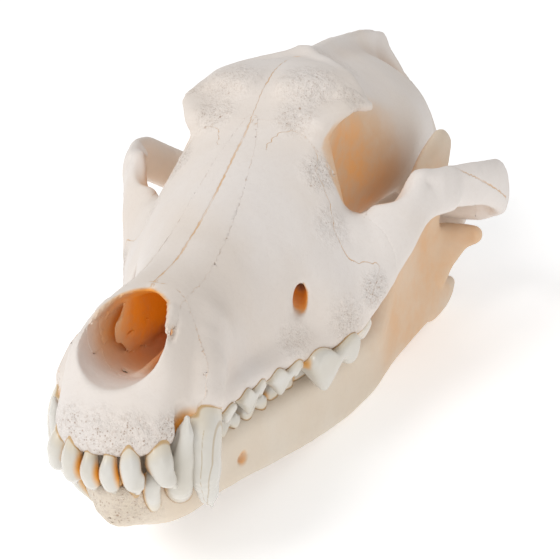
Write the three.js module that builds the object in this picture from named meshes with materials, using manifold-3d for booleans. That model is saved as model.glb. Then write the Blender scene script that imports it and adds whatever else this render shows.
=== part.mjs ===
// A wolf skull with its lower jaw closed, at life size.
// Millimetres, +Z up, the nose towards -Y and its left towards +X.
// Each bone is a field of x, y and z: below zero inside the bone, and about the distance outside it.
// A field is made of strokes, which add or carve one named form each, and is turned into a closed mesh.
// Shapes are given in the skull's own frame: the palate at z = 0, the front teeth's sockets at y = 0.
import * as THREE from "three";
import Module from "manifold-3d";

const wasm = await Module();
wasm.setup();

// Driving dimensions
const SKULL_LENGTH = 258;
const BRAINCASE_HALF = 34.5;
const FOREHEAD_HEIGHT = 74;
const CREST_HEIGHT = 76;
const ARCH_HALF = 70.5;
const MUZZLE_HALF = 19;
const PALATE_HALF = 37;
const JAW_DEPTH = 36;
const JAW_JOINT = [46, 193, 4.4];
const POSTORBITAL_TIP = [32, 135, 64.5];
const INION = [0, SKULL_LENGTH, 69];

// The bones are parted along their seams by thin gaps.
const SEAM_GAP = 0.3;
const SYMPHYSIS_GAP = 0.3;

// At rest the skull leans back on its jaw, which has small flats where it touches the floor.
const REST_PITCH = THREE.MathUtils.degToRad(6.5);
const FOOT_DEPTH = 0.5;

// How finely each field is sampled, and how many triangles its mesh keeps.
const BONE_CELL = 2.4;
const TOOTH_CELL = 1.1;
const TOOTH_REACH = [13, 19, 30];
const CRANIUM_TRIANGLES = 6600;
const JAW_TRIANGLES = 1700;
const TOOTH_TRIANGLES = { canine: 110, incisor: 44, premolar: 70, molar: 90 };

const BONE = new THREE.MeshStandardMaterial({ color: 0xe9ddcf, roughness: 0.62, metalness: 0 });
const JAW_BONE = new THREE.MeshStandardMaterial({ color: 0xe6d6c0, roughness: 0.6, metalness: 0 });

// Field tools

const FAR = 1e3;
const REACH = 9;
const mix = (a, b, t) => a + (b - a) * t;
const clamp = (v, low, high) => Math.min(Math.max(v, low), high);

function smoothMin(a, b, blend) {
  if (blend <= 0) return Math.min(a, b);
  const h = Math.max(blend - Math.abs(a - b), 0) / blend;
  return Math.min(a, b) - h * h * blend * 0.25;
}

const smoothMax = (a, b, blend) => -smoothMin(-a, -b, blend);

// A smooth curve of values over stations: rows of [station, value, value, ...], read at s.
function readStations(rows, s, column) {
  const last = rows.length - 1;
  if (s <= rows[0][0]) return rows[0][column];
  if (s >= rows[last][0]) return rows[last][column];
  let i = 0;
  while (s > rows[i + 1][0]) i += 1;
  const slope = (k) => {
    if (k <= 0 || k >= last) return 0;
    const before = (rows[k][column] - rows[k - 1][column]) / (rows[k][0] - rows[k - 1][0]);
    const after = (rows[k + 1][column] - rows[k][column]) / (rows[k + 1][0] - rows[k][0]);
    return before * after <= 0 ? 0 : (2 * before * after) / (before + after);
  };
  const run = rows[i + 1][0] - rows[i][0];
  const t = (s - rows[i][0]) / run;
  const held = rows[i][column] * (1 + 2 * t) * (1 - t) ** 2 + rows[i + 1][column] * t * t * (3 - 2 * t);
  return held + slope(i) * run * t * (1 - t) ** 2 + slope(i + 1) * run * t * t * (t - 1);
}

// A function that keeps its last answer, for values that change along Y only.
function remembered(read) {
  let [at, value] = [NaN, null];
  return (y) => {
    if (y !== at) [at, value] = [y, read(y)];
    return value;
  };
}

// A form is a field and the box that holds it.
const form = (at, low, high) => ({ at, low, high });

// An ellipsoid, with its long axes turned about X by pitch and about Z by yaw, in degrees.
function ellipsoid(centre, radii, pitch = 0, yaw = 0) {
  const [cp, sp] = [Math.cos(THREE.MathUtils.degToRad(pitch)), Math.sin(THREE.MathUtils.degToRad(pitch))];
  const [cy, sy] = [Math.cos(THREE.MathUtils.degToRad(yaw)), Math.sin(THREE.MathUtils.degToRad(yaw))];
  const at = (x, y, z) => {
    const [dx, dy, dz] = [x - centre[0], y - centre[1], z - centre[2]];
    const ax = dx * cy + dy * sy;
    const ay = dy * cy - dx * sy;
    const by = ay * cp + dz * sp;
    const bz = dz * cp - ay * sp;
    const far = Math.hypot(ax / radii[0], by / radii[1], bz / radii[2]);
    const slope = Math.hypot(ax / radii[0] ** 2, by / radii[1] ** 2, bz / radii[2] ** 2);
    return slope < 1e-9 ? -Math.min(...radii) : (far * (far - 1)) / slope;
  };
  const most = Math.max(...radii);
  return form(at, centre.map((c) => c - most), centre.map((c) => c + most));
}

// A limb swept through points [x, y, z, half thickness, half height], flattened across the direction up.
function limb(points, up = [0, 0, 1], steps = 4) {
  const places = points.map((p) => new THREE.Vector3(p[0], p[1], p[2]));
  const line = new THREE.CatmullRomCurve3(places, false, "centripetal");
  const count = (points.length - 1) * steps;
  const rings = [];
  for (let i = 0; i <= count; i += 1) {
    const along = (i / count) * (points.length - 1);
    const k = Math.min(Math.floor(along), points.length - 2);
    const ease = THREE.MathUtils.smoothstep(along - k, 0, 1);
    const c = line.getPoint(i / count);
    const [thick, high] = [3, 4].map((column) => mix(points[k][column], points[k + 1][column], ease));
    rings.push([c.x, c.y, c.z, thick, high]);
  }
  const segments = rings.slice(1).map((b, i) => {
    const a = rings[i];
    const along = new THREE.Vector3(b[0] - a[0], b[1] - a[1], b[2] - a[2]);
    const length = along.length();
    along.normalize();
    const side = new THREE.Vector3().crossVectors(along, new THREE.Vector3(...up)).normalize();
    const rise = new THREE.Vector3().crossVectors(side, along);
    return { a, b, along, side, rise, length };
  });
  const at = (x, y, z) => {
    let nearest = FAR;
    for (const { a, b, along, side, rise, length } of segments) {
      const dx = x - a[0];
      const dy = y - a[1];
      const dz = z - a[2];
      const s = dx * along.x + dy * along.y + dz * along.z;
      const t = clamp(s / length, 0, 1);
      const w = mix(a[3], b[3], t);
      const h = mix(a[4], b[4], t);
      const least = Math.min(w, h);
      const p = (s - t * length) / least;
      const q = (dx * side.x + dy * side.y + dz * side.z) / w;
      const r = (dx * rise.x + dy * rise.y + dz * rise.z) / h;
      const far = Math.sqrt(p * p + q * q + r * r);
      const slope = Math.sqrt((p / least) ** 2 + (q / w) ** 2 + (r / h) ** 2);
      nearest = Math.min(nearest, slope < 1e-9 ? -least : (far * (far - 1)) / slope);
    }
    return nearest;
  };
  const low = [0, 1, 2].map((k) => Math.min(...rings.map((r) => r[k] - Math.max(r[3], r[4]))));
  const high = [0, 1, 2].map((k) => Math.max(...rings.map((r) => r[k] + Math.max(r[3], r[4]))));
  return form(at, low, high);
}

// A body along Y, from stations of y, bottom, top, half width low, at mid height and high,
// and squareness low and high.
function hull(rows) {
  const section = remembered((y) => [1, 2, 3, 4, 5, 6, 7].map((column) => readStations(rows, y, column)));
  const last = rows.length - 1;
  const at = (x, y, z) => {
    const [low, high, a, b, c, squareLow, squareHigh] = section(y);
    const half = (high - low) / 2;
    const v = (z - (low + high) / 2) / half;
    const held = clamp(v, -1, 1);
    const wide = Math.max(b + ((c - a) / 2) * held + ((a + c) / 2 - b) * held * held, 1);
    const square = v < 0 ? squareLow : squareHigh;
    const r = (Math.abs(x / wide) ** square + Math.abs(v) ** square) ** (1 / square);
    const across = (r - 1) * Math.min(wide, half) * 0.9;
    return smoothMax(across, Math.max(rows[0][0] - y, y - rows[last][0]), 2);
  };
  const widest = Math.max(...rows.map((row) => Math.max(row[3], row[4], row[5])));
  const lowest = Math.min(...rows.map((row) => row[1]));
  const highest = Math.max(...rows.map((row) => row[2]));
  return form(at, [-widest, rows[0][0], lowest], [widest, rows[last][0], highest]);
}

// A plate that stands on the middle plane, under a top edge given by stations [y, top, half thickness].
function crest(rows, root) {
  const last = rows.length - 1;
  const at = (x, y, z) => {
    const top = readStations(rows, y, 1);
    const thick = readStations(rows, y, 2) + Math.max(top - z, 0) * 0.16;
    const ends = Math.max(rows[0][0] - y, y - rows[last][0]);
    return Math.max(Math.abs(x) - thick, z - top, root - z, ends);
  };
  return form(at, [-8, rows[0][0], root], [8, rows[last][0], Math.max(...rows.map((row) => row[1]))]);
}

// Signed distance to a closed outline of [y, z] points joined by a smooth curve.
function outline(points, perPoint = 4) {
  const corners = points.map(([y, z]) => new THREE.Vector3(y, z, 0));
  const curve = new THREE.CatmullRomCurve3(corners, true, "centripetal");
  const line = curve.getPoints(points.length * perPoint).slice(0, -1);
  return (y, z) => {
    let nearest = FAR;
    let inside = false;
    for (let i = 0, j = line.length - 1; i < line.length; j = i, i += 1) {
      const p = line[i];
      const q = line[j];
      const ey = q.x - p.x;
      const ez = q.y - p.y;
      const t = clamp(((y - p.x) * ey + (z - p.y) * ez) / (ey * ey + ez * ez), 0, 1);
      nearest = Math.min(nearest, Math.hypot(y - p.x - ey * t, z - p.y - ez * t));
      if (p.y > z !== q.y > z && y < ((q.x - p.x) * (z - p.y)) / (q.y - p.y) + p.x) inside = !inside;
    }
    return inside ? -nearest : nearest;
  };
}

// Strokes are made in order, within reach of their forms.
// A paired stroke is made on both sides of the middle plane.
const add = (shape, blend = 3) => ({ shape, blend, adds: true, paired: true });
const carve = (shape, blend = 3) => ({ shape, blend, adds: false, paired: true });
const single = (stroke) => ({ ...stroke, paired: false });

// Cranium

// From the front teeth's sockets to the back of the braincase: y, bottom, top,
// half width low, half width at mid height, half width high, squareness low, squareness high.
const CRANIUM_STATIONS = [
  [-0.5, 0, 8, 7, 7, 5, 2.5, 2.5],
  [3, -1, 12, 13, 12, 9, 4, 2.5],
  [8, -1, 17, 17, 15.5, 12, 4, 3],
  [16, -1, 27, MUZZLE_HALF, 17, 15, 4, 3.2],
  [26, -1, 32, MUZZLE_HALF + 1, 17.8, 14, 4, 3.2],
  [36, -1, 34, MUZZLE_HALF + 0.5, 17.6, 13, 4, 3],
  [50, -1, 35.5, MUZZLE_HALF + 2, 18.5, 12, 5, 2.7],
  [66, -1, 40, 25.5, 22, 12, 6, 2.6],
  [80, -1, 46, 32, 27, 14, 7, 2.4],
  [94, -1, 53, PALATE_HALF, 32, 17, 7, 2.4],
  [106, -1, 59, PALATE_HALF + 0.5, 34, 20, 7, 2.6],
  [116, 1, 65, PALATE_HALF - 4, 30, 24, 5, 3],
  [126, 8, 71, 19, 20, 27, 3, 3.4],
  [136, 11, FOREHEAD_HEIGHT, 17, 18, 29, 3, 3.4],
  [148, 11, FOREHEAD_HEIGHT + 1.5, 18, 20, 24, 3, 3.2],
  [160, 11, FOREHEAD_HEIGHT + 1, 20, 24, 20, 3, 2.6],
  [178, 12, 71.5, 26, 31, 22, 3, 2.3],
  [196, 13, 71, 30, BRAINCASE_HALF, 24, 3, 2.2],
  [212, 13, 69, 32, BRAINCASE_HALF, 24, 3, 2.2],
  [226, 14, 65, 31, BRAINCASE_HALF - 3, 22, 3, 2.2],
  [238, 16, 61, 26, 26, 19, 2.6, 2.2],
  [247, 18, 56, 19, 18.5, 13, 2.4, 2.2],
];

// y, height and half thickness of the crest's top edge.
const SAGITTAL_CREST = [
  [158, CREST_HEIGHT - 6, 1.2],
  [166, CREST_HEIGHT, 1.3],
  [182, CREST_HEIGHT - 0.5, 1.4],
  [206, CREST_HEIGHT - 1, 1.5],
  [230, CREST_HEIGHT - 2.2, 1.7],
  [247, CREST_HEIGHT - 4.5, 2],
  [SKULL_LENGTH, INION[2], 2.6],
];

// The cheekbone leans outwards as it leaves the upper jaw, and the arch goes on upright to the jaw joint.
const CHEEK = [
  [28, 92, 12, 7, 11],
  [36, 104, 15, 6, 12],
  [42, 114, 24, 5, 10.5],
  [50, 128.5, 36, 4, 8.6],
  [57, 141, 37, 3.4, 7.4],
];
const ARCH = [
  [55, 138, 37, 3.2, 7],
  [ARCH_HALF - 6, 158, 34.6, 3, 7.6],
  [ARCH_HALF - 3, 173, 30.6, 3.2, 8.6],
  [ARCH_HALF - 5, 187, 23.6, 4, 8.4],
  [54, 196, 17.5, 5.5, 7],
  [34, 201, 21, 9, 7],
];
const CHEEK_LEAN = [-0.55, 0, 1];

const CANINE_BULGE = [[17, 19, 2, 4.5, 5], [16.2, 30, 11, 4.5, 6], [13.5, 43, 20, 3, 5]];
const BROW = [
  [20, 118, 60, 5, 5],
  [26, 127.5, 64.3, 5.6, 3.6],
  [POSTORBITAL_TIP[0] - 1.2, 135, POSTORBITAL_TIP[2], 1.6, 1.6],
];
const TEMPORAL_LINE = [
  [POSTORBITAL_TIP[0] - 3, 136, POSTORBITAL_TIP[2], 2, 2],
  [21, 147, 68.5, 2.6, 2.6],
  [10, 158, 72, 2.6, 2.6],
  [0, 166, CREST_HEIGHT - 2, 2, 2],
];
const JUGAL_EDGE = [
  [48.6, 126.6, 38, 1.8, 3],
  [49.4, 128.6, 44.2, 1.5, 2.2],
  [53, 137, 40.4, 2, 2.8],
  [56.6, 146, 39.8, 2, 2.8],
  [62, 153, 39.6, 2, 2.6],
];
const ALONG_X = [1, 0, 0];
const CANINE_SOCKET = [[19, 24.6, 8.4, 5.6, 7], [17.6, 29, 14, 5.4, 7.4], [15.4, 35, 20, 3.6, 6]];
const JOINT_SHELF = [[34, 196, 17, 6, 5], [JAW_JOINT[0], 196, 15.5, 6, 5], [57, 193, 17, 5, 5]];
const JOINT_LIP = [[38, 202, 10, 2, 6], [50, 201.5, 9, 2, 5]];
const NUCHAL_CREST = [
  [0, 255, 64, 2.2, 5],
  [8, 249, 53, 2.2, 6],
  [17, 240, 44, 2.2, 7],
  [26, 231, 33, 2.4, 6],
  [33, 220, 25, 3, 5],
];
const NUCHAL_LEAN = [0, 0.5, 1];
const NECK_PROCESS = [[25, 232, 18, 4, 5], [27, 234, 6, 1.8, 3]];
const MASTOID = [[30, 214, 22, 5, 5], [33, 224, 17, 5, 6]];
const PTERYGOID = [[12, 122, 6, 1.8, 6], [11.5, 140, 6.5, 1.6, 7], [11, 158, 9, 1.4, 5]];
const NERVE_OPENING = [[29.5, 70, 15.5, 2.4, 4.4], [25, 84, 18, 2.2, 3.6], [24, 92, 20, 2, 3]];
const NASAL_PASSAGE = [
  [0, -6, 27, 9, 9],
  [0, 14, 24.5, 12, 10.2],
  [0, 28, 22.5, 11.6, 11.4],
  [0, 40, 19.5, 11, 10.5],
  [0, 66, 23, 9, 12],
  [0, 84, 27, 5, 8],
];
const NOSE_ROOF = [
  [0, -8, 33, 11, 9],
  [0, 12, 33, 11, 9],
  [0, 21, 34, 8.6, 8],
  [0, 27, 35, 5.6, 7],
  [0, 33, 37, 2, 5],
];
const PALATE_VAULT = [
  [0, 6, -11, 8, 10],
  [0, 30, -11.5, 13, 15],
  [0, 70, -12, 18, 17],
  [0, 92, -12, 23, 17.5],
  [0, 106, -12, 25, 17.5],
  [0, 122, -11, 20, 17],
];
const CANINE_NOTCH = [[20.8, 12.6, -6, 5.4, 3], [20.2, 13, 4, 5.4, 3], [20.4, 13.4, 9, 4, 2.4]];
const PALATE_SLIT = [[4.6, 13, 3, 1.8, 9], [4.8, 26, 3, 1.8, 9]];
const INNER_NOSTRIL = [[0, 118, 6, 6, 5], [0, 140, 5, 9, 9], [0, 166, 3, 9, 9]];
const SPINE_OPENING = [[0, 262, 33, 9.5, 8], [0, 226, 32, 9, 7.5]];
const ACROSS = [0, 1, 0];

const craniumStrokes = [
  single(add(hull(CRANIUM_STATIONS))),
  add(limb(CANINE_BULGE), 8),
  add(limb(BROW), 5),
  add(limb(TEMPORAL_LINE), 5),
  add(limb(CHEEK, CHEEK_LEAN), 8),
  add(limb(ARCH), 5),
  add(limb(JOINT_SHELF), 5),
  add(limb(JOINT_LIP), 3),
  single(add(crest(SAGITTAL_CREST, 50), 7)),
  add(limb(NUCHAL_CREST, NUCHAL_LEAN), 5),
  // Condyles that meet the neck.
  add(ellipsoid([12, 248, 23], [7.5, 8, 9], 0, -20), 4),
  add(limb(NECK_PROCESS, ACROSS), 4),
  // Ear capsules.
  add(ellipsoid([16.5, 208, 10], [9.5, 14, 10.5], 0, 12), 2.5),
  add(limb(MASTOID), 5),
  add(limb(PTERYGOID), 3),
  // The eye socket and the two hollows behind it.
  carve(ellipsoid([38, 127, 48], [12.5, 15.5, 14], -14, 24), 4),
  carve(ellipsoid([39, 146, 37], [17, 24, 21], 0, -6), 5),
  carve(ellipsoid([51, 170, 32], [12, 22, 26]), 4),
  carve(limb(NERVE_OPENING), 1.5),
  single(carve(limb(NASAL_PASSAGE), 2)),
  single(carve(limb(NOSE_ROOF), 1.5)),
  add(limb(JUGAL_EDGE, ALONG_X), 3),
  add(limb(CANINE_SOCKET, ACROSS), 2),
  single(carve(limb(PALATE_VAULT), 2.5)),
  carve(limb(CANINE_NOTCH, ACROSS), 1.5),
  carve(limb(PALATE_SLIT), 1),
  single(carve(limb(INNER_NOSTRIL), 2)),
  single(carve(limb(SPINE_OPENING), 2)),
];

// Lower jaw: the left half

// Side view of the half jaw: from the chin along the lower edge to the hooked corner, then up and forward.
const JAW_OUTLINE = [
  [2, -11],
  [4, -17],
  [11, -25.5],
  [21, -30.5],
  [40, -30.5],
  [70, 2.2 - JAW_DEPTH],
  [95, -JAW_DEPTH],
  [120, -JAW_DEPTH],
  [140, 2.4 - JAW_DEPTH],
  [163, -30],
  [182, -28],
  [195, -26],
  [201, -22],
  [202, -18],
  [193, -13],
  [187, -6],
  [190, 1],
  [192.5, 5.5],
  [187, 11],
  [186, 20],
  [190, 34],
  [190, 43.5],
  [181, 48.5],
  [173, 46],
  [164, 40],
  [150, 24],
  [138, 3],
  [130, -7],
  [112, -9],
  [60, -10],
  [34, -9],
  [20, -8],
  [8, -8],
];

// Where the half jaw lies to the side of the middle plane: y, x, half thickness low, half thickness high.
const JAW_SPREAD = [
  [2, 2, 2.6, 6.6],
  [14, 4, 4.6, 9.6],
  [28, 9, 6, 8],
  [44, 14.5, 5, 5.2],
  [70, 21.5, 4.8, 5],
  [100, 28.5, 4.8, 5.4],
  [125, 33.5, 4.2, 5],
  [145, 36, 3.6, 3.4],
  [170, 40.5, 3, 2.8],
  [200, 45, 2.6, 2.6],
];
const CORONOID_HEIGHT = 48;
const CORONOID_LEAN = 3;

function jawPlate() {
  const edge = outline(JAW_OUTLINE);
  const section = remembered((y) => [1, 2, 3].map((column) => readStations(JAW_SPREAD, y, column)));
  const at = (x, y, z) => {
    const [middle, low, high] = section(y);
    const lean = clamp(z / CORONOID_HEIGHT, 0, 1) * CORONOID_LEAN;
    const thick = mix(low, high, clamp((z + JAW_DEPTH) / 30, 0, 1));
    return smoothMax((Math.abs(x - middle - lean) - thick) * 0.95, edge(y, z), 7);
  };
  return form(at, [-4, 0, -JAW_DEPTH], [54, 204, CORONOID_HEIGHT + 2]);
}

const JOINT_ROLLER = [[36, 192, 3.2, 3.2, 3.2], [...JAW_JOINT, 3.9, 3.9], [57, 190.5, 5.6, 3.2, 3.2]];
const CORNER_HOOK = [[42.5, 182, -22, 2.4, 5], [44, 193, -20.5, 2.4, 5], [45.5, 202, -18.5, 1.8, 2.2]];
const RAMUS_EDGE = [[34, 130, -14, 3.4, 3], [36.5, 143, 3, 2.6, 2.4], [38.5, 155, 24, 2, 2.2]];

const jawStrokes = [
  add(jawPlate()),
  add(limb(JOINT_ROLLER), 4),
  add(limb(CORNER_HOOK), 4),
  add(limb(RAMUS_EDGE), 4),
  // The chin's swelling, where the halves meet.
  add(ellipsoid([0, 13, -17], [5, 9, 9], -30), 3),
  // The hollow for the chewing muscle, and the nerve opening below the second premolar.
  carve(ellipsoid([53.5, 168, 2], [11, 20, 22], 30, 0), 4),
  carve(ellipsoid([25, 43, -20], [6, 2.6, 1.6]), 1),
].map(single);

// Teeth, of the left side. Each is a field of its own, sunk into its socket.

function cone(base, tip, wide, long) {
  const middle = base.map((v, i) => mix(v, tip[i], 0.5));
  const rows = [
    [...base, wide, long],
    [...middle, wide * 0.82, long * 0.74],
    [...tip, wide * 0.2, long * 0.14],
  ];
  return limb(rows, ACROSS, 3);
}

// A cheek tooth: a low wall between its two roots, with a row of cusps.
// A cusp is [share along the tooth, height, side shift, size].
function cheekTooth({ at, long, wide, turn, cusps }, rise) {
  const [c, s] = [Math.cos(turn), Math.sin(turn)];
  const place = (u, h, side = 0) => [
    at[0] + side * c + u * long * s,
    at[1] + u * long * c - side * s,
    at[2] + h * rise,
  ];
  const ends = [wide * 0.42, 3.2];
  const wall = limb([
    [...place(-0.4, -1), ...ends],
    [...place(0, -0.6), wide * 0.5, 3.6],
    [...place(0.4, -1), ...ends],
  ]);
  const points = cusps.map(([u, height, side, size]) =>
    cone(place(u * 0.85, -0.5, side * 0.6), place(u, height, side), wide * 0.36, long * size),
  );
  const roots = [-0.3, 0.3].map((u) => {
    const top = [...place(u, 0), wide * 0.36, long * 0.17];
    const end = [...place(u, -6), wide * 0.25, long * 0.12];
    return limb([top, end], ACROSS, 2);
  });
  return [wall, ...points, ...roots].map((shape) => single(add(shape, wide * 0.3)));
}

// An incisor or canine: one curved cone from its root in the bone past its neck to its tip.
function frontTooth({ kind, root, neck, tip, wide, deep, bow = -0.8 }) {
  const [swell, blunt] = kind === "canine" ? [0.83, 0.16] : [1.01, 0.45];
  const middle = neck.map((v, i) => mix(v, tip[i], 0.5) + (i === 1 ? bow : 0));
  const rows = [
    [...root, wide * 0.8, deep * 0.8],
    [...neck, wide, deep],
    [...middle, wide * swell, deep * 0.8],
    [...tip, wide * blunt, deep * 0.16],
  ];
  return [single(add(limb(rows, ACROSS)))];
}

// Places are [x, y, z] at the gum line. Upper teeth hang and lower teeth stand.
const UPPER_CHEEK_TEETH = [
  { kind: "premolar", at: [20, 36, 0], long: 7, wide: 4.4, turn: 0.1, cusps: [[0, 4.5, 0, 0.36]] },
  {
    kind: "premolar", at: [22, 49, 0], long: 13, wide: 5, turn: 0.14,
    cusps: [[-0.1, 7, 0, 0.3], [0.32, 2.6, 0, 0.16]],
  },
  {
    kind: "premolar", at: [26, 65, 0], long: 15, wide: 5.6, turn: 0.28,
    cusps: [[-0.1, 7.5, 0, 0.28], [0.3, 3.6, 0, 0.15]],
  },
  {
    kind: "molar", at: [34, 84.5, 0], long: 25, wide: 8.5, turn: 0.3,
    cusps: [[-0.1, 13, 0.5, 0.24], [0.32, 9, 0.5, 0.24]],
  },
  {
    kind: "molar", at: [33.5, 103, 0], long: 15, wide: 14, turn: 0.1,
    cusps: [[-0.2, 6, 4, 0.22], [0.25, 5, 4, 0.2], [0, 3, -3.5, 0.3]],
  },
  {
    kind: "molar", at: [30, 112.4, 0], long: 8, wide: 11, turn: 0,
    cusps: [[0, 3.5, 2.5, 0.3], [0, 2.5, -3, 0.3]],
  },
];
const LOWER_CHEEK_TEETH = [
  { kind: "premolar", at: [14, 33, -9.5], long: 5.5, wide: 3.6, turn: 0.15, cusps: [[0, 4, 0, 0.36]] },
  {
    kind: "premolar", at: [16.4, 43, -9.5], long: 11.5, wide: 4.8, turn: 0.2,
    cusps: [[-0.1, 7, 0, 0.28], [0.3, 2.6, 0, 0.15]],
  },
  {
    kind: "premolar", at: [18.6, 57, -10], long: 13, wide: 5.2, turn: 0.22,
    cusps: [[-0.08, 8, 0, 0.28], [0.3, 3.4, 0, 0.15]],
  },
  {
    kind: "premolar", at: [21, 71.5, -10], long: 14.5, wide: 5.4, turn: 0.24,
    cusps: [[-0.08, 9, 0, 0.27], [0.28, 4.6, 0, 0.16]],
  },
  {
    kind: "molar", at: [24.8, 92, -10.4], long: 27, wide: 7.4, turn: 0.25,
    cusps: [[-0.26, 7, -1, 0.2], [0.04, 8.6, -1, 0.2], [0.36, 4.5, -0.5, 0.16]],
  },
  {
    kind: "molar", at: [29.2, 111.5, -9], long: 11, wide: 7, turn: 0.2,
    cusps: [[-0.1, 4.5, 0, 0.28], [0.25, 3.5, 0, 0.22]],
  },
  { kind: "molar", at: [31.6, 120.5, -8], long: 5, wide: 4.6, turn: 0.2, cusps: [[0, 3, 0, 0.36]] },
];
const UPPER_INCISORS = [
  { kind: "incisor", root: [3.2, 7, 8], neck: [3.5, 1.5, 1], tip: [3.7, 1.6, -8.5], wide: 2.7, deep: 3 },
  { kind: "incisor", root: [8, 8, 8], neck: [9.2, 3, 1.5], tip: [9.8, 2.6, -9.5], wide: 3.1, deep: 3.2 },
  { kind: "incisor", root: [12.2, 11, 9], neck: [14.6, 7.3, 2], tip: [16.7, 8, -12], wide: 3.7, deep: 3.4 },
];
const UPPER_CANINE = {
  kind: "canine",
  root: [15, 36, 18],
  neck: [20, 22, 1],
  tip: [19.8, 25, -25],
  wide: 4.8,
  deep: 6.7,
  bow: -2.2,
};
const LOWER_FRONT_TEETH = [
  { kind: "incisor", root: [2.8, 11, -18], neck: [2.6, 7.2, -11], tip: [2.6, 6.4, -4], wide: 2, deep: 2.2 },
  { kind: "incisor", root: [5.8, 12, -18], neck: [6.6, 8.6, -11], tip: [7, 7.6, -3.6], wide: 2.3, deep: 2.4 },
  {
    kind: "incisor",
    root: [8.6, 14, -18],
    neck: [10.2, 11, -11],
    tip: [10.8, 10.4, -4],
    wide: 2.6,
    deep: 2.6,
  },
  {
    kind: "canine",
    root: [10.5, 22, -21],
    neck: [15, 13, -11],
    tip: [19.4, 12.6, 5.5],
    wide: 3.1,
    deep: 2.6,
    bow: 0,
  },
];

// Meshes

// A grid of field values over the box from low to high, with the strokes made on it.
function sampled(strokes, low, high, cell) {
  const size = [0, 1, 2].map((k) => Math.ceil((high[k] - low[k]) / cell) + 1);
  const [nx, ny, nz] = size;
  const values = new Float32Array(nx * ny * nz).fill(FAR);
  const make = ({ shape, blend, adds, paired }, side) => {
    const [left, right] = side > 0 ? [shape.low[0], shape.high[0]] : [-shape.high[0], -shape.low[0]];
    const nearest = [left, shape.low[1], shape.low[2]];
    const from = nearest.map((v, k) => Math.max(Math.ceil((v - REACH - low[k]) / cell), 1));
    const to = [right, shape.high[1], shape.high[2]].map((v, k) =>
      Math.min(Math.floor((v + REACH - low[k]) / cell), size[k] - 2),
    );
    for (let j = from[1]; j <= to[1]; j += 1)
      for (let k = from[2]; k <= to[2]; k += 1)
        for (let i = from[0]; i <= to[0]; i += 1) {
          const x = (low[0] + i * cell) * side;
          if (paired && (x < 0 || (x === 0 && side < 0))) continue;
          const e = shape.at(x, low[1] + j * cell, low[2] + k * cell);
          const n = (k * ny + j) * nx + i;
          values[n] = adds ? smoothMin(values[n], e, blend) : smoothMax(values[n], -e, blend);
        }
  };
  for (const stroke of strokes) {
    make(stroke, 1);
    if (stroke.paired) make(stroke, -1);
  }
  return { values, size, low, cell };
}

// The six tetrahedra of a grid cell, by corner: bit 0 of a corner is x, bit 1 y and bit 2 z.
const CELL_TETRAHEDRA = [
  [0, 1, 3, 7],
  [0, 3, 2, 7],
  [0, 2, 6, 7],
  [0, 6, 4, 7],
  [0, 4, 5, 7],
  [0, 5, 1, 7],
];

// Turns sampled values into a closed triangle mesh.
function polygonize({ values, size, low, cell }) {
  const [nx, ny, nz] = size;
  const corner = [0, 1, 2, 3, 4, 5, 6, 7].map((c) => ((c >> 2) * ny + ((c >> 1) & 1)) * nx + (c & 1));
  const points = [];
  const faces = [];
  const made = new Map();
  const cross = (a, b) => {
    const key = Math.min(a, b) * values.length + Math.max(a, b);
    if (!made.has(key)) {
      const t = clamp(values[a] / (values[a] - values[b]), 0.03, 0.97);
      const at = [a, b].map((n) => [n % nx, Math.floor(n / nx) % ny, Math.floor(n / (nx * ny))]);
      made.set(key, points.length);
      points.push([0, 1, 2].map((m) => low[m] + mix(at[0][m], at[1][m], t) * cell));
    }
    return made.get(key);
  };
  for (let k = 0; k < nz - 1; k += 1)
    for (let j = 0; j < ny - 1; j += 1)
      for (let i = 0; i < nx - 1; i += 1) {
        const base = (k * ny + j) * nx + i;
        let full = 0;
        for (const step of corner) full += values[base + step] < 0 ? 1 : 0;
        if (full === 0 || full === 8) continue;
        for (const tetrahedron of CELL_TETRAHEDRA) {
          const t = tetrahedron.map((c) => base + corner[c]);
          const inside = t.filter((c) => values[c] < 0);
          const outside = t.filter((c) => values[c] >= 0);
          if (inside.length === 0 || outside.length === 0) continue;
          const even = isEven([...inside, ...outside].map((c) => t.indexOf(c)));
          const face = (a, b, c) => faces.push(even ? [a, b, c] : [a, c, b]);
          if (inside.length === 1) face(...outside.map((c) => cross(inside[0], c)));
          else if (outside.length === 1) face(...inside.map((c) => cross(c, outside[0])));
          else {
            const [p, q] = inside.map((c) => cross(c, outside[0]));
            const [r, s] = inside.map((c) => cross(c, outside[1]));
            face(p, r, s);
            face(p, s, q);
          }
        }
      }
  return { points, faces };
}

function isEven(order) {
  let swaps = 0;
  order.forEach((a, i) => order.slice(i + 1).forEach((b) => (swaps += a > b ? 1 : 0)));
  return swaps % 2 === 0;
}

// A heap of edges, cheapest first.
class EdgeHeap {
  constructor() {
    this.items = [];
  }
  push(item) {
    const { items } = this;
    let i = items.push(item) - 1;
    while (i > 0 && items[(i - 1) >> 1].cost > item.cost) {
      items[i] = items[(i - 1) >> 1];
      i = (i - 1) >> 1;
    }
    items[i] = item;
  }
  pop() {
    const { items } = this;
    const top = items[0];
    const moved = items.pop();
    if (items.length === 0) return top;
    let i = 0;
    for (;;) {
      let child = 2 * i + 1;
      if (child >= items.length) break;
      if (child + 1 < items.length && items[child + 1].cost < items[child].cost) child += 1;
      if (items[child].cost >= moved.cost) break;
      items[i] = items[child];
      i = child;
    }
    items[i] = moved;
    return top;
  }
}

const minus = (a, b) => [a[0] - b[0], a[1] - b[1], a[2] - b[2]];
const dot = (a, b) => a[0] * b[0] + a[1] * b[1] + a[2] * b[2];
const crossed = (a, b) => [a[1] * b[2] - a[2] * b[1], a[2] * b[0] - a[0] * b[2], a[0] * b[1] - a[1] * b[0]];

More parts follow.
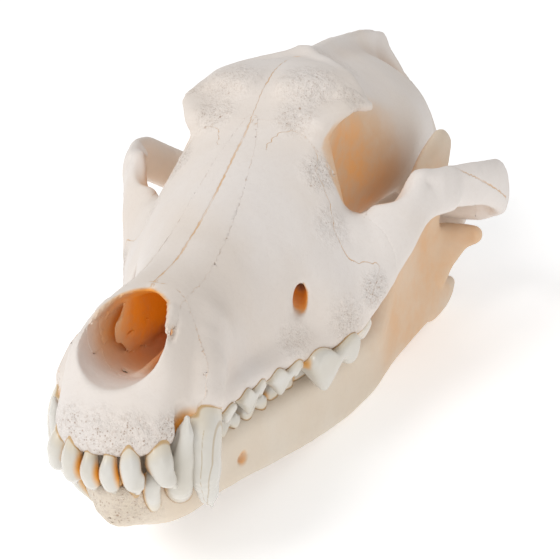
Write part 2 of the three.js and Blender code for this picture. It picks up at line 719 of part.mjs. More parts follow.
// Merges edges of a closed mesh, cheapest first, until it has no more than the wanted number of triangles.
// The cost of a merge is its squared distance from the planes of the faces merged so far,
// and a little for its length.
function simplify({ points, faces }, wanted) {
  const LENGTH_COST = 2e-3;
  const around = points.map(() => new Set());
  faces.forEach((face, f) => face.forEach((v) => around[v].add(f)));
  const quadrics = points.map(() => new Float64Array(10));
  for (const face of faces) {
    const [a, b, c] = face.map((v) => points[v]);
    const n = crossed(minus(b, a), minus(c, a));
    const area = Math.hypot(...n);
    if (area < 1e-12) continue;
    const [nx, ny, nz] = n.map((v) => v / area);
    const d = -dot([nx, ny, nz], a);
    const plane = [nx * nx, nx * ny, nx * nz, nx * d, ny * ny, ny * nz, ny * d, nz * nz, nz * d, d * d];
    for (const v of face) plane.forEach((q, i) => (quadrics[v][i] += q * area));
  }
  const costAt = (q, [x, y, z]) => {
    const squares = q[0] * x * x + q[4] * y * y + q[7] * z * z;
    const products = q[1] * x * y + q[2] * x * z + q[5] * y * z;
    return squares + 2 * (products + q[3] * x + q[6] * y + q[8] * z) + q[9];
  };
  const best = (q, a, b) => {
    const middle = a.map((v, i) => (v + b[i]) / 2);
    const [r0, r1, r2] = [[q[0], q[1], q[2]], [q[1], q[4], q[5]], [q[2], q[5], q[7]]];
    const trace = (q[0] + q[4] + q[7]) * 1e-3 + 1e-12;
    r0[0] += trace;
    r1[1] += trace;
    r2[2] += trace;
    const right = [-q[3] + trace * middle[0], -q[6] + trace * middle[1], -q[8] + trace * middle[2]];
    const whole = dot(r0, crossed(r1, r2));
    const [c0, c1, c2] = [[r0[0], r1[0], r2[0]], [r0[1], r1[1], r2[1]], [r0[2], r1[2], r2[2]]];
    const at = [dot(right, crossed(c1, c2)), dot(c0, crossed(right, c2)), dot(c0, crossed(c1, right))];
    return at.map((v) => v / whole);
  };
  const stamp = new Int32Array(points.length);
  const heap = new EdgeHeap();
  const offer = (a, b) => {
    const q = quadrics[a].map((v, i) => v + quadrics[b][i]);
    const at = best(q, points[a], points[b]);
    const span = minus(points[a], points[b]);
    heap.push({ cost: costAt(q, at) + LENGTH_COST * dot(span, span), a, b, at, sum: stamp[a] + stamp[b] });
  };
  const neighbours = (v) => {
    const found = new Set();
    for (const f of around[v]) for (const w of faces[f]) if (w !== v) found.add(w);
    return found;
  };
  points.forEach((_, a) => neighbours(a).forEach((b) => b > a && offer(a, b)));
  const keepsFacing = (v, other, at) => {
    for (const f of around[v]) {
      if (faces[f].includes(other)) continue;
      const before = faces[f].map((w) => points[w]);
      const after = faces[f].map((w) => (w === v ? at : points[w]));
      const m = crossed(minus(before[1], before[0]), minus(before[2], before[0]));
      const n = crossed(minus(after[1], after[0]), minus(after[2], after[0]));
      if (dot(m, n) < 0.3 * Math.hypot(...m) * Math.hypot(...n)) return false;
    }
    return true;
  };
  let left = faces.length;
  while (left > wanted && heap.items.length) {
    const { a, b, at, sum } = heap.pop();
    if (!around[a].size || !around[b].size || sum !== stamp[a] + stamp[b]) continue;
    const [near, beyond] = [neighbours(a), neighbours(b)];
    if (!near.has(b) || [...near].filter((v) => beyond.has(v)).length !== 2) continue;
    if (!keepsFacing(a, b, at) || !keepsFacing(b, a, at)) continue;
    points[a] = at;
    quadrics[b].forEach((q, i) => (quadrics[a][i] += q));
    for (const f of around[b]) {
      if (faces[f].includes(a)) {
        for (const v of faces[f]) if (v !== b) around[v].delete(f);
        faces[f] = null;
        left -= 1;
      } else {
        faces[f] = faces[f].map((v) => (v === b ? a : v));
        around[a].add(f);
      }
    }
    around[b] = new Set();
    stamp[a] += 1;
    stamp[b] += 1;
    for (const v of neighbours(a)) offer(Math.min(a, v), Math.max(a, v));
  }
  return { points, faces: faces.filter(Boolean) };
}

// The mesh of a closed prism.
// It is a polygon in the plane across an axis (0 for X, 2 for Z), drawn out along that axis.
function prism(polygon, axis, from, to) {
  const flat = polygon.map(([u, v]) => new THREE.Vector2(u, v));
  if (THREE.ShapeUtils.area(flat) < 0) flat.reverse();
  const n = flat.length;
  const points = [from, to].flatMap((w) => flat.map(({ x, y }) => (axis === 0 ? [w, x, y] : [x, y, w])));
  const caps = THREE.ShapeUtils.triangulateShape(flat, []);
  const faces = [...caps.map(([a, b, c]) => [a, c, b]), ...caps.map(([a, b, c]) => [a + n, b + n, c + n])];
  for (let i = 0; i < n; i += 1) {
    const j = (i + 1) % n;
    faces.push([i, j, j + n], [i, j + n, i + n]);
  }
  return { points, faces };
}

const box = ([x0, y0, z0], [x1, y1, z1]) => prism([[x0, y0], [x1, y0], [x1, y1], [x0, y1]], 2, z0, z1);

const mirrored = ({ points, faces }) => ({
  points: points.map(([x, y, z]) => [-x, y, z]),
  faces: faces.map(([a, b, c]) => [a, c, b]),
});

function meshed(strokes, low, high, cell, triangles) {
  return simplify(polygonize(sampled(strokes, low, high, cell)), triangles);
}

function toothMesh(tooth, rise) {
  const strokes = tooth.cusps ? cheekTooth(tooth, rise) : frontTooth(tooth);
  const middle = tooth.at ?? tooth.neck;
  const low = middle.map((v, i) => v - TOOTH_REACH[i]);
  const high = middle.map((v, i) => v + TOOTH_REACH[i]);
  return meshed(strokes, low, high, TOOTH_CELL, TOOTH_TRIANGLES[tooth.kind]);
}

const craniumMesh = meshed(craniumStrokes, [-78, -8, -16], [78, 268, 86], BONE_CELL, CRANIUM_TRIANGLES);
const jawMesh = meshed(jawStrokes, [-8, -4, -46], [66, 212, 56], BONE_CELL, JAW_TRIANGLES);

const bothSides = (meshes) => [...meshes, ...meshes.map(mirrored)];
const incisors = bothSides(UPPER_INCISORS.map((tooth) => toothMesh(tooth, -1)));
const upperTeeth = bothSides([UPPER_CANINE, ...UPPER_CHEEK_TEETH].map((tooth) => toothMesh(tooth, -1)));
const lowerTeeth = [...LOWER_FRONT_TEETH, ...LOWER_CHEEK_TEETH].map((tooth) => toothMesh(tooth, 1));

// Rest: the frame is leant back, set on the floor and centred on its footprint.
const leaned = ([x, y, z]) => [
  x,
  y * Math.cos(REST_PITCH) + z * Math.sin(REST_PITCH),
  z * Math.cos(REST_PITCH) - y * Math.sin(REST_PITCH),
];
const allPoints = [craniumMesh, jawMesh, ...incisors].flatMap((mesh) => mesh.points).map(leaned);
const lengthwise = allPoints.map((p) => p[1]);
const frontY = lengthwise.reduce((a, b) => Math.min(a, b));
const backY = lengthwise.reduce((a, b) => Math.max(a, b));
const middleY = (frontY + backY) / 2;
const lowestZ = allPoints.map((p) => p[2]).reduce((a, b) => Math.min(a, b)) + FOOT_DEPTH;
const rested = (point) => {
  const [x, y, z] = leaned(point);
  return [x, y - middleY, z - lowestZ];
};

// Solids

function solidOf({ points, faces }, place = rested) {
  const used = new Map();
  const vertices = [];
  const triangles = faces.flat().map((v) => {
    if (!used.has(v)) {
      used.set(v, used.size);
      vertices.push(...place(points[v]));
    }
    return used.get(v);
  });
  const vertProperties = new Float32Array(vertices);
  const triVerts = new Uint32Array(triangles);
  return new wasm.Manifold(new wasm.Mesh({ numProp: 3, vertProperties, triVerts }));
}

// Cut pieces smaller than this are crumbs.
const LEAST_VOLUME = 100;

// The closed surface of a solid whose box lies nearest to a point of the skull's frame.
function pieceNear(solids, point) {
  const at = rested(point);
  const far = (solid) => {
    const { min, max } = solid.boundingBox();
    return Math.hypot(...at.map((v, i) => v - (min[i] + max[i]) / 2));
  };
  return solids.filter((solid) => solid.volume() > LEAST_VOLUME).sort((a, b) => far(a) - far(b))[0];
}

const largest = (solid) => solid.decompose().sort((a, b) => b.volume() - a.volume())[0];
const joined = (bone, teeth) => largest(teeth.reduce((whole, tooth) => whole.add(solidOf(tooth)), bone));
const without = (solid, meshes) => meshes.reduce((whole, mesh) => whole.subtract(solidOf(mesh)), solid);

// The nasal bones lie in the roof of the snout.
// Their side seams are [y, x] seen from above, and their underside is [y, z] seen from the side.
const NASAL_SEAM = [[19, 12.5], [32, 10.6], [60, 9.4], [92, 6.6], [114, 2]];
const NASAL_UNDERSIDE = [[10, 18], [50, 21], [66, 31], [84, 42], [120, 58]];

function nasalWedge(gap) {
  const last = NASAL_SEAM.length - 1;
  const left = NASAL_SEAM.map(([y, x], i) => [x + gap, i === last ? y + gap : y]);
  const right = left.map(([x, y]) => [-x, y]).reverse();
  const front = NASAL_SEAM[0][1] + gap;
  const plan = [[front, 0], ...left, ...right, [-front, 0]];
  const side = [...NASAL_UNDERSIDE.map(([y, z]) => [y, z - gap]), [120, 90], [10, 90]];
  return solidOf(prism(plan, 2, 0, 90)).intersect(solidOf(prism(side, 0, -20, 20)));
}

// Seams of the incisor bone, of the face and braincase, of the cheekbones at both ends
// and of the ear capsules.
const INCISOR_SEAM = [[12.6, -8], [13, 3], [20.3, 12], [36.5, 33]];
const FACE_SEAM = [[120.6, -20], [120.6, 9], [113, 20], [113, 90]];
const CHEEK_SEAM_X = 37.5;
const ARCH_SEAM_X = 58;
const CAPSULE_SEAM_Z = 10;
const SEAM_REACH = 60;
function seamBlade(seam) {
  const behind = seam.map(([y, z]) => [y + SEAM_GAP, z]).reverse();
  return prism([...seam, ...behind], 0, -SEAM_REACH, SEAM_REACH);
}
const cheekBlade = box([CHEEK_SEAM_X, 112, -20], [CHEEK_SEAM_X + SEAM_GAP, 150, 52]);
const archBlade = box([ARCH_SEAM_X, 178, -10], [ARCH_SEAM_X + SEAM_GAP, 212, 50]);
const capsuleBlade = box([4, 190, CAPSULE_SEAM_Z], [28, 226, CAPSULE_SEAM_Z + SEAM_GAP]);

const cranium = largest(solidOf(craniumMesh));
const nasalBones = largest(cranium.intersect(nasalWedge(0)));
const blades = [
  seamBlade(INCISOR_SEAM),
  seamBlade(FACE_SEAM),
  ...bothSides([cheekBlade, archBlade, capsuleBlade]),
];
const bones = without(cranium.subtract(nasalWedge(SEAM_GAP)), blades).decompose();
const symphysisCut = box([-30, -20, -80], [SYMPHYSIS_GAP / 2, 60, 40]);
const jaw = without(solidOf(jawMesh), [symphysisCut]);
const rightJaw = without(solidOf(mirrored(jawMesh)), [mirrored(symphysisCut)]);
const floor = solidOf(box([-100, -200, -50], [100, 200, 0]), (point) => point);

const meshOf = (name, solid, material) => {
  const { vertProperties, triVerts } = solid.getMesh();
  const geometry = new THREE.BufferGeometry();
  geometry.setAttribute("position", new THREE.BufferAttribute(vertProperties, 3));
  geometry.setIndex(new THREE.BufferAttribute(triVerts, 1));
  geometry.computeVertexNormals();
  const mesh = new THREE.Mesh(geometry, material);
  mesh.name = name;
  return mesh;
};

const skull = new THREE.Group();
skull.add(meshOf("incisor_bone", joined(pieceNear(bones, [0, 10, 10]), incisors), BONE));
skull.add(meshOf("upper_jaw", joined(pieceNear(bones, [0, 65, 28]), upperTeeth), BONE));
skull.add(meshOf("nasal_bones", nasalBones, BONE));
skull.add(meshOf("braincase", pieceNear(bones, [0, 186, 40]), BONE));
skull.add(meshOf("cheekbone_left", pieceNear(bones, [55, 155, 25]), BONE));
skull.add(meshOf("cheekbone_right", pieceNear(bones, [-55, 155, 25]), BONE));
skull.add(meshOf("ear_capsule_left", pieceNear(bones, [16, 208, 5]), BONE));
skull.add(meshOf("ear_capsule_right", pieceNear(bones, [-16, 208, 5]), BONE));
skull.add(meshOf("lower_jaw_left", joined(jaw, lowerTeeth).subtract(floor), JAW_BONE));
skull.add(meshOf("lower_jaw_right", joined(rightJaw, lowerTeeth.map(mirrored)).subtract(floor), JAW_BONE));

export default skull;
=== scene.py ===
"""A wolf skull with its lower jaw closed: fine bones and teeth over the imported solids.

Shapes are fields in the skull's own frame, in millimetres: the palate lies at z = 0, the front
teeth's sockets at y = 0, and x is the animal's left. Each field is meshed, and the mesh is leant
back on its jaw and brought to the row frame in metres.
"""

import math

import bpy
import numpy as np
from mathutils import Matrix, Vector


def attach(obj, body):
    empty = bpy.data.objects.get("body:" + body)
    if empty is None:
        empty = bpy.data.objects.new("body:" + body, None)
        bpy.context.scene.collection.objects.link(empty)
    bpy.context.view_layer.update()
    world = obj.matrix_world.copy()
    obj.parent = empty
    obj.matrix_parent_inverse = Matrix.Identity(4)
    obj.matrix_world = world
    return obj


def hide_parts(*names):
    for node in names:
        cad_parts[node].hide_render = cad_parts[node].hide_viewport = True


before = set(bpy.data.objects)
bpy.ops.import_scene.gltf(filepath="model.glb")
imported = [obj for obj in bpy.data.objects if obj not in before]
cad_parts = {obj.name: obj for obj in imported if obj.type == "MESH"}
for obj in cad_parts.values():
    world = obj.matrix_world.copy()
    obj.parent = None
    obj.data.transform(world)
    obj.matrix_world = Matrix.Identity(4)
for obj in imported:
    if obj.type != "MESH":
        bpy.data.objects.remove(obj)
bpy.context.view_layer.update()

# How the skull rests, as the solids do

REST_PITCH = math.radians(6.5)
REST_SHIFT = (0.0, -131.338, 48.464)

# Field tools

FAR = 1e3
# How far past its box a form still blends with the others.
MARGIN = 7.0
# How a hull's field falls off, and how softly its ends are cut.
HULL_SLOPE = 0.9
HULL_END_BLEND = 2
# How a crest thickens below its edge, and its greatest half thickness.
CREST_FLARE = 0.16
CREST_REACH = 8


def mix(a, b, t):
    return a + (b - a) * t


def smoothstep(low, high, v):
    t = np.clip((v - low) / (high - low), 0, 1)
    return t * t * (3 - 2 * t)


def smooth_min(a, b, blend):
    if blend <= 0:
        return np.minimum(a, b)
    h = np.maximum(blend - np.abs(a - b), 0) / blend
    return np.minimum(a, b) - h * h * blend * 0.25


def smooth_max(a, b, blend):
    return -smooth_min(-a, -b, blend)


def beyond(value, ends):
    """Below zero between the two ends."""
    return np.maximum(ends[0] - value, value - ends[1])


def read_stations(rows, s, column):
    """A smooth curve through rows of [station, value, value, ...], read at s."""
    x = np.array([row[0] for row in rows], float)
    v = np.array([row[column] for row in rows], float)
    s = np.clip(np.asarray(s, float), x[0], x[-1])
    rise = np.diff(v) / np.diff(x)
    slope = np.zeros(len(v))
    before, after = rise[:-1], rise[1:]
    same = before * after > 0
    slope[1:-1][same] = 2 * before[same] * after[same] / (before[same] + after[same])
    i = np.clip(np.searchsorted(x, s, side="right") - 1, 0, len(x) - 2)
    run = x[i + 1] - x[i]
    t = (s - x[i]) / run
    ends = v[i] * (1 + 2 * t) * (1 - t) ** 2 + v[i + 1] * t * t * (3 - 2 * t)
    return ends + slope[i] * run * t * (1 - t) ** 2 + slope[i + 1] * run * t * t * (t - 1)


class Form:
    """A function that is about the distance to a shape, below zero inside it, and the shape's box."""

    def __init__(self, at, low, high):
        self.at, self.low, self.high = at, np.array(low, float), np.array(high, float)


def ellipsoid(centre, radii, pitch=0, yaw=0):
    """Its long axes are turned about X by pitch and about Z by yaw, in degrees."""
    cp, sp = math.cos(math.radians(pitch)), math.sin(math.radians(pitch))
    cy, sy = math.cos(math.radians(yaw)), math.sin(math.radians(yaw))

    def at(x, y, z):
        dx, dy, dz = x - centre[0], y - centre[1], z - centre[2]
        ax, ay = dx * cy + dy * sy, dy * cy - dx * sy
        by, bz = ay * cp + dz * sp, dz * cp - ay * sp
        p, q, r = ax / radii[0], by / radii[1], bz / radii[2]
        far = np.sqrt(p * p + q * q + r * r)
        slope = np.sqrt((p / radii[0]) ** 2 + (q / radii[1]) ** 2 + (r / radii[2]) ** 2)
        return far * (far - 1) / np.maximum(slope, 1e-9)

    reach = max(radii) if pitch or yaw else np.array(radii)
    return Form(at, np.array(centre) - reach, np.array(centre) + reach)


def curve_through(points, count, closed=False):
    """A centripetal Catmull-Rom curve through points."""
    pts = np.array(points, float)
    n = len(pts)
    out = []
    for j in range(count + (0 if closed else 1)):
        p = (n if closed else n - 1) * j / count
        k = int(math.floor(p))
        w = p - k
        if not closed and k == n - 1:
            k, w = n - 2, 1.0
        p1, p2 = pts[k % n], pts[(k + 1) % n]
        p0 = pts[(k - 1) % n] if closed or k > 0 else 2 * p1 - p2
        p3 = pts[(k + 2) % n] if closed or k + 2 < n else 2 * p2 - p1
        d = [max(np.sum((b - a) ** 2) ** 0.25, 1e-4) for a, b in ((p0, p1), (p1, p2), (p2, p3))]
        t1 = ((p1 - p0) / d[0] - (p2 - p0) / (d[0] + d[1]) + (p2 - p1) / d[1]) * d[1]
        t2 = ((p2 - p1) / d[1] - (p3 - p1) / (d[1] + d[2]) + (p3 - p2) / d[2]) * d[1]
        c2 = -3 * p1 + 3 * p2 - 2 * t1 - t2
        c3 = 2 * p1 - 2 * p2 + t1 + t2
        out.append(p1 + t1 * w + c2 * w * w + c3 * w**3)
    return np.array(out)


def limb(points, up=(0, 0, 1), steps=4):
    """Swept through points [x, y, z, half thickness, half height], flattened across up."""
    count = (len(points) - 1) * steps
    line = curve_through([p[:3] for p in points], count)
    rings = []
    for i in range(count + 1):
        at = i / count * (len(points) - 1)
        k = min(int(at), len(points) - 2)
        ease = smoothstep(0, 1, at - k)
        rings.append([*line[i], *(mix(points[k][c], points[k + 1][c], ease) for c in (3, 4))])
    rings = np.array(rings)
    segments = []
    for a, b in zip(rings[:-1], rings[1:]):
        along = b[:3] - a[:3]
        length = np.linalg.norm(along)
        along = along / length
        side = np.cross(along, up)
        side /= np.linalg.norm(side)
        segments.append((a, b, along, side, np.cross(side, along), length))

    def at(x, y, z):
        nearest = FAR
        for a, b, along, side, rise, length in segments:
            dx, dy, dz = x - a[0], y - a[1], z - a[2]
            s = dx * along[0] + dy * along[1] + dz * along[2]
            t = np.clip(s / length, 0, 1)
            w, h = mix(a[3], b[3], t), mix(a[4], b[4], t)
            least = np.minimum(w, h)
            p = (s - t * length) / least
            q = (dx * side[0] + dy * side[1] + dz * side[2]) / w
            r = (dx * rise[0] + dy * rise[1] + dz * rise[2]) / h
            far = np.sqrt(p * p + q * q + r * r)
            slope = np.sqrt((p / least) ** 2 + (q / w) ** 2 + (r / h) ** 2)
            nearest = np.minimum(nearest, far * (far - 1) / np.maximum(slope, 1e-9))
        return nearest

    reach = rings[:, 3:].max(1)[:, None]
    return Form(at, (rings[:, :3] - reach).min(0), (rings[:, :3] + reach).max(0))


def hull(rows):
    """A body along Y: y, bottom, top, half widths low, middle and high, squareness low and high."""

    def at(x, y, z):
        low, high, a, b, c, below, above = (read_stations(rows, y, k) for k in range(1, 8))
        half = (high - low) / 2
        v = (z - (low + high) / 2) / half
        held = np.clip(v, -1, 1)
        wide = np.maximum(b + (c - a) / 2 * held + ((a + c) / 2 - b) * held * held, 1)
        square = np.where(v < 0, below, above)
        r = ((np.abs(x) / wide) ** square + np.abs(v) ** square) ** (1 / square)
        across = (r - 1) * np.minimum(wide, half) * HULL_SLOPE
        return smooth_max(across, beyond(y, (rows[0][0], rows[-1][0])) + 0 * across, HULL_END_BLEND)

    widest = max(max(row[3:6]) for row in rows)
    low, high = min(row[1] for row in rows), max(row[2] for row in rows)
    return Form(at, [-widest, rows[0][0], low], [widest, rows[-1][0], high])


def crest(rows, root):
    """A plate on the middle plane under a top edge of stations [y, top, half thickness]."""

    def at(x, y, z):
        top = read_stations(rows, y, 1)
        thick = read_stations(rows, y, 2) + np.maximum(top - z, 0) * CREST_FLARE
        ends = beyond(y, (rows[0][0], rows[-1][0]))
        return np.maximum(np.maximum(np.abs(x) - thick, z - top), np.maximum(root - z, ends))

    highest = max(row[1] for row in rows)
    return Form(at, [-CREST_REACH, rows[0][0], root], [CREST_REACH, rows[-1][0], highest])


def outline(points, per_point=4):
    """Signed distance in a plane to a smooth closed curve through points."""
    line = curve_through([[*p, 0] for p in points], len(points) * per_point, True)[:, :2]

    def at(y, z):
        y, z = np.broadcast_arrays(y, z)
        nearest = np.full(y.shape, FAR)
        inside = np.zeros(y.shape, bool)
        for q, p in zip(np.roll(line, 1, 0), line):
            e = q - p
            t = np.clip(((y - p[0]) * e[0] + (z - p[1]) * e[1]) / max(e @ e, 1e-12), 0, 1)
            nearest = np.minimum(nearest, np.hypot(y - p[0] - e[0] * t, z - p[1] - e[1] * t))
            if p[1] != q[1]:
                crossing = (q[0] - p[0]) * (z - p[1]) / (q[1] - p[1]) + p[0]
                inside ^= ((p[1] > z) != (q[1] > z)) & (y < crossing)
        return np.where(inside, -nearest, nearest)

    return at


def add(form, blend=3, single=False):
    return (True, form, blend, single)


def carve(form, blend=3, single=False):
    return (False, form, blend, single)


class Grid:
    """Field values over a box. Strokes are made in order, on both sides unless single."""

    def __init__(self, low, high, cell):
        self.low, self.cell = np.array(low, float), cell
        size = np.ceil((np.array(high, float) - low) / cell).astype(int) + 1
        self.axes = [self.low[k] + cell * np.arange(size[k]) for k in range(3)]
        self.values = np.full(size, FAR, np.float32)

    def within(self, low, high):
        cuts = []
        for k in range(3):
            i = np.searchsorted(self.axes[k], low[k])
            j = np.searchsorted(self.axes[k], high[k], side="right")
            if i >= j:
                return None
            cuts.append(slice(i, j))
        return tuple(cuts)

    def stroke(self, adds, form, blend, single):
        for side in (1,) if single else (1, -1):
            low, high = form.low - MARGIN, form.high + MARGIN
            if side < 0:
                low[0], high[0] = -high[0], min(-low[0], -self.cell * 1e-3)
            elif not single:
                low[0] = max(low[0], 0)
            cut = self.within(low, high)
            if cut is None:
                continue
            x = (self.axes[0][cut[0]] * side)[:, None, None]
            y = self.axes[1][cut[1]][None, :, None]
            z = self.axes[2][cut[2]][None, None, :]
            e = form.at(x, y, z)
            d = self.values[cut]
            self.values[cut] = smooth_min(d, e, blend) if adds else smooth_max(d, -e, blend)

    def sculpt(self, strokes):
        for stroke in strokes:
            self.stroke(*stroke)
        return self

    def holding(self, values):
        """A grid of the same points with other values."""
        made = Grid.__new__(Grid)
        made.low, made.cell, made.axes, made.values = self.low, self.cell, self.axes, values
        return made

    def part(self, region):
        """Only what lies inside region, a function below zero there."""
        x, y, z = self.axes
        cut = region(x[:, None, None], y[None, :, None], z[None, None, :])
        return self.holding(np.maximum(self.values, cut).astype(np.float32))

    def read(self, points):
        """Values at points, between the grid's own."""
        size = np.array(self.values.shape)
        at = np.clip((points - self.low) / self.cell, 0, size - 1.001)
        i = at.astype(int)
        t = at - i
        total = np.zeros(len(points))
        for a, b, c in np.ndindex(2, 2, 2):
            share = np.ones(len(points))
            for k, corner in enumerate((a, b, c)):
                share *= t[:, k] if corner else 1 - t[:, k]
            total += share * self.values[i[:, 0] + a, i[:, 1] + b, i[:, 2] + c]
        return total

    def mesh(self):
        """Surface nets: a point in each crossed cell and a quad across each crossed edge."""
        v = self.values
        inside = v < 0
        n = np.array(v.shape)
        corners = list(np.ndindex(2, 2, 2))
        count = np.zeros(n - 1, np.int8)
        for c in corners:
            count += inside[tuple(slice(c[k], n[k] - 1 + c[k]) for k in range(3))]
        cells = np.argwhere((count > 0) & (count < 8))
        number = np.full(n - 1, -1, np.int64)
        number[tuple(cells.T)] = np.arange(len(cells))
        total = np.zeros((len(cells), 3))
        hits = np.zeros(len(cells))
        for axis in range(3):
            for c in corners:
                if c[axis]:
                    continue
                a = cells + c
                b = a.copy()
                b[:, axis] += 1
                va, vb = v[tuple(a.T)].astype(float), v[tuple(b.T)].astype(float)
                cross = (va < 0) != (vb < 0)
                at = a[cross].astype(float)
                at[:, axis] += va[cross] / (va[cross] - vb[cross])
                total[cross] += at
                hits[cross] += 1
        points = self.low + total / hits[:, None] * self.cell
        quads = []
        for axis in range(3):
            u, w = (axis + 1) % 3, (axis + 2) % 3
            cut = [slice(None)] * 3
            cut[axis] = slice(0, -1)
            a = inside[tuple(cut)]
            cut[axis] = slice(1, None)
            edges = np.argwhere(a != inside[tuple(cut)])
            edges = edges[(edges[:, u] > 0) & (edges[:, w] > 0)]
            edges = edges[(edges[:, u] < n[u] - 1) & (edges[:, w] < n[w] - 1)]
            ring = []
            for du, dw in ((-1, -1), (0, -1), (0, 0), (-1, 0)):
                c = edges.copy()
                c[:, u] += du
                c[:, w] += dw
                ring.append(number[tuple(c.T)])
            quad = np.stack(ring, 1)
            leaving = a[tuple(edges.T)]
            quad[~leaving] = quad[~leaving][:, ::-1]
            quads.append(quad)
        return points, np.concatenate(quads)


# Cranium

ACROSS = (0, 1, 0)

# y, bottom, top, half widths low, middle and high, squareness low and high.
CRANIUM_STATIONS = [
    [-0.5, 0, 8, 7, 7, 5, 2.5, 2.5],
    [3, -1, 12, 13, 12, 9, 4, 2.5],
    [8, -1, 17, 17, 15.5, 12, 4, 3],
    [16, -1, 27, 19, 17, 15, 4, 3.2],
    [26, -1, 32, 20, 17.8, 14, 4, 3.2],
    [36, -1, 34, 19.5, 17.6, 13, 4, 3],
    [50, -1, 35.5, 21, 18.5, 12, 5, 2.7],
    [66, -1, 40, 25.5, 22, 12, 6, 2.6],
    [80, -1, 46, 32, 27, 14, 7, 2.4],
    [94, -1, 53, 37, 32, 17, 7, 2.4],
    [106, -1, 59, 37.5, 34, 20, 7, 2.6],
    [116, 1, 65, 33, 30, 24, 5, 3],
    [126, 8, 71, 19, 20, 27, 3, 3.4],
    [136, 11, 74, 17, 18, 29, 3, 3.4],
    [148, 11, 75.5, 18, 20, 24, 3, 3.2],
    [160, 11, 75, 20, 24, 20, 3, 2.6],
    [178, 12, 71.5, 26, 31, 22, 3, 2.3],
    [196, 13, 71, 30, 34.5, 24, 3, 2.2],
    [212, 13, 69, 32, 34.5, 24, 3, 2.2],
    [226, 14, 65, 31, 31.5, 22, 3, 2.2],
    [238, 16, 61, 26, 26, 19, 2.6, 2.2],
    [247, 18, 56, 19, 18.5, 13, 2.4, 2.2],
]
# y, top, half thickness.
SAGITTAL_CREST = [
    [158, 70, 1.0],
    [166, 76, 1.0],
    [182, 75.5, 1.1],
    [206, 75, 1.2],
    [230, 73.8, 1.4],
    [247, 71.5, 1.7],
    [258, 69, 2.2],
]
# From here on, the points of limbs: x, y, z, half thickness, half height.
CHEEK = [
    [28, 92, 12, 7, 11],
    [36, 104, 15, 6, 12],
    [42, 114, 24, 5, 10.5],
    [50, 128.5, 36, 4, 8.6],
    [57, 141, 37, 3.4, 7.4],
]
ARCH = [
    [55, 138, 37, 3.2, 7],
    [64.5, 158, 34.6, 3, 7.6],
    [67.5, 173, 30.6, 3.2, 8.6],
    [65.5, 187, 23.6, 4, 8.4],
    [54, 196, 17.5, 5.5, 7],
    [34, 201, 21, 9, 7],
]
CHEEK_LEAN = (-0.55, 0, 1)
CANINE_BULGE = [[17, 19, 2, 4.5, 5], [16.2, 30, 11, 4.5, 6], [13.5, 43, 20, 3, 5]]
BROW = [
    [20, 118, 60.6, 5, 4.4],
    [25, 126, 64.6, 4.8, 2.8],
    [28.6, 131.4, 64.8, 2.4, 1.5],
    [32.4, 136, 63.8, 0.6, 0.5],
]
FOREHEAD = [
    [5, 137, 71.6, 14, 3.4],
    [13, 138, 71.8, 12.5, 3.4],
    [19.5, 137.4, 70.8, 9.6, 3.2],
    [25.6, 135.6, 67.2, 6, 2.6],
    [31.4, 135.2, 64.3, 1.1, 0.8],
]
TEMPORAL_LINE = [
    [31, 135.6, 64.2, 1, 0.9],
    [27, 139, 67.4, 2, 1.8],
    [20, 146.4, 71.6, 2.2, 2],
    [11, 156.2, 74, 2, 1.8],
    [0, 165, 75, 1.6, 1.6],
]
JUGAL_EDGE = [
    [46.4, 122, 33.4, 1.8, 3],
    [49, 128, 39.5, 1.8, 3],
    [50.4, 131, 43.4, 1.5, 2.4],
    [53.6, 138, 41, 2, 2.8],
    [57.6, 146.5, 39.4, 2, 2.8],
    [62.4, 154, 38.8, 2, 2.6],
]
CANINE_SOCKET = [[19, 24.6, 8.4, 5.6, 7], [17.6, 29, 14, 5.4, 7.4], [15.4, 35, 20, 3.6, 6]]
NASAL_TIP = [[9.4, 29, 30.8, 1.1, 0.8], [10.4, 25, 29.4, 0.9, 0.9], [10.9, 21.2, 27.4, 0.45, 0.5]]
TIP_NOTCH = [[14.4, 17, 25.4, 0.8, 0.9], [12.8, 21.4, 26.2, 0.8, 1.0], [12, 26, 28.8, 0.5, 0.5]]
NASAL_SHELF = [[0, 25, 10.6, 1.6, 1.8], [0, 40, 9.8, 1.2, 3], [0, 60, 13, 1, 3.4]]
JOINT_SHELF = [[34, 196, 17, 6, 5], [46, 196, 15.5, 6, 5], [57, 193, 17, 5, 5]]
JOINT_LIP = [[38, 202, 10, 2, 6], [50, 201.5, 9, 2, 5]]
NUCHAL_CREST = [
    [0, 255, 64, 2.2, 5],
    [8, 249, 53, 2.2, 6],
    [17, 240, 44, 2.2, 7],
    [26, 231, 33, 2.4, 6],
    [33, 220, 25, 3, 5],
]
NECK_PROCESS = [[25, 232, 18, 4, 5], [27, 234, 6, 1.8, 3]]
MASTOID = [[30, 214, 22, 5, 5], [33, 224, 17, 5, 6]]
PTERYGOID = [[12, 122, 6, 1.8, 6], [11.5, 140, 6.5, 1.6, 7], [11, 158, 9, 1.4, 5]]
NERVE_OPENING = [
    [30.6, 64, 15, 2.6, 5],
    [29.2, 74, 16, 2.4, 4.6],
    [25.4, 84, 18, 2, 3.8],
    [24, 92, 20, 2, 3],
]
NASAL_PASSAGE = [
    [0, -6, 27, 9, 9],
    [0, 14, 24.5, 12, 10.2],
    [0, 28, 22.5, 11.6, 11.4],
    [0, 40, 19.5, 11, 10.5],
    [0, 66, 23, 9, 12],
    [0, 84, 27, 5, 8],
]
PALATE_VAULT = [
    [0, 6, -11, 8, 10],
    [0, 30, -11.5, 13, 15],
    [0, 70, -12, 18, 17],
    [0, 92, -12, 23, 17.5],
    [0, 106, -12, 25, 17.5],
    [0, 122, -11, 20, 17],
]
CANINE_NOTCH = [[20.8, 12.6, -6, 5.4, 3], [20.2, 13, 4, 5.4, 3], [20.4, 13.4, 9, 4, 2.4]]
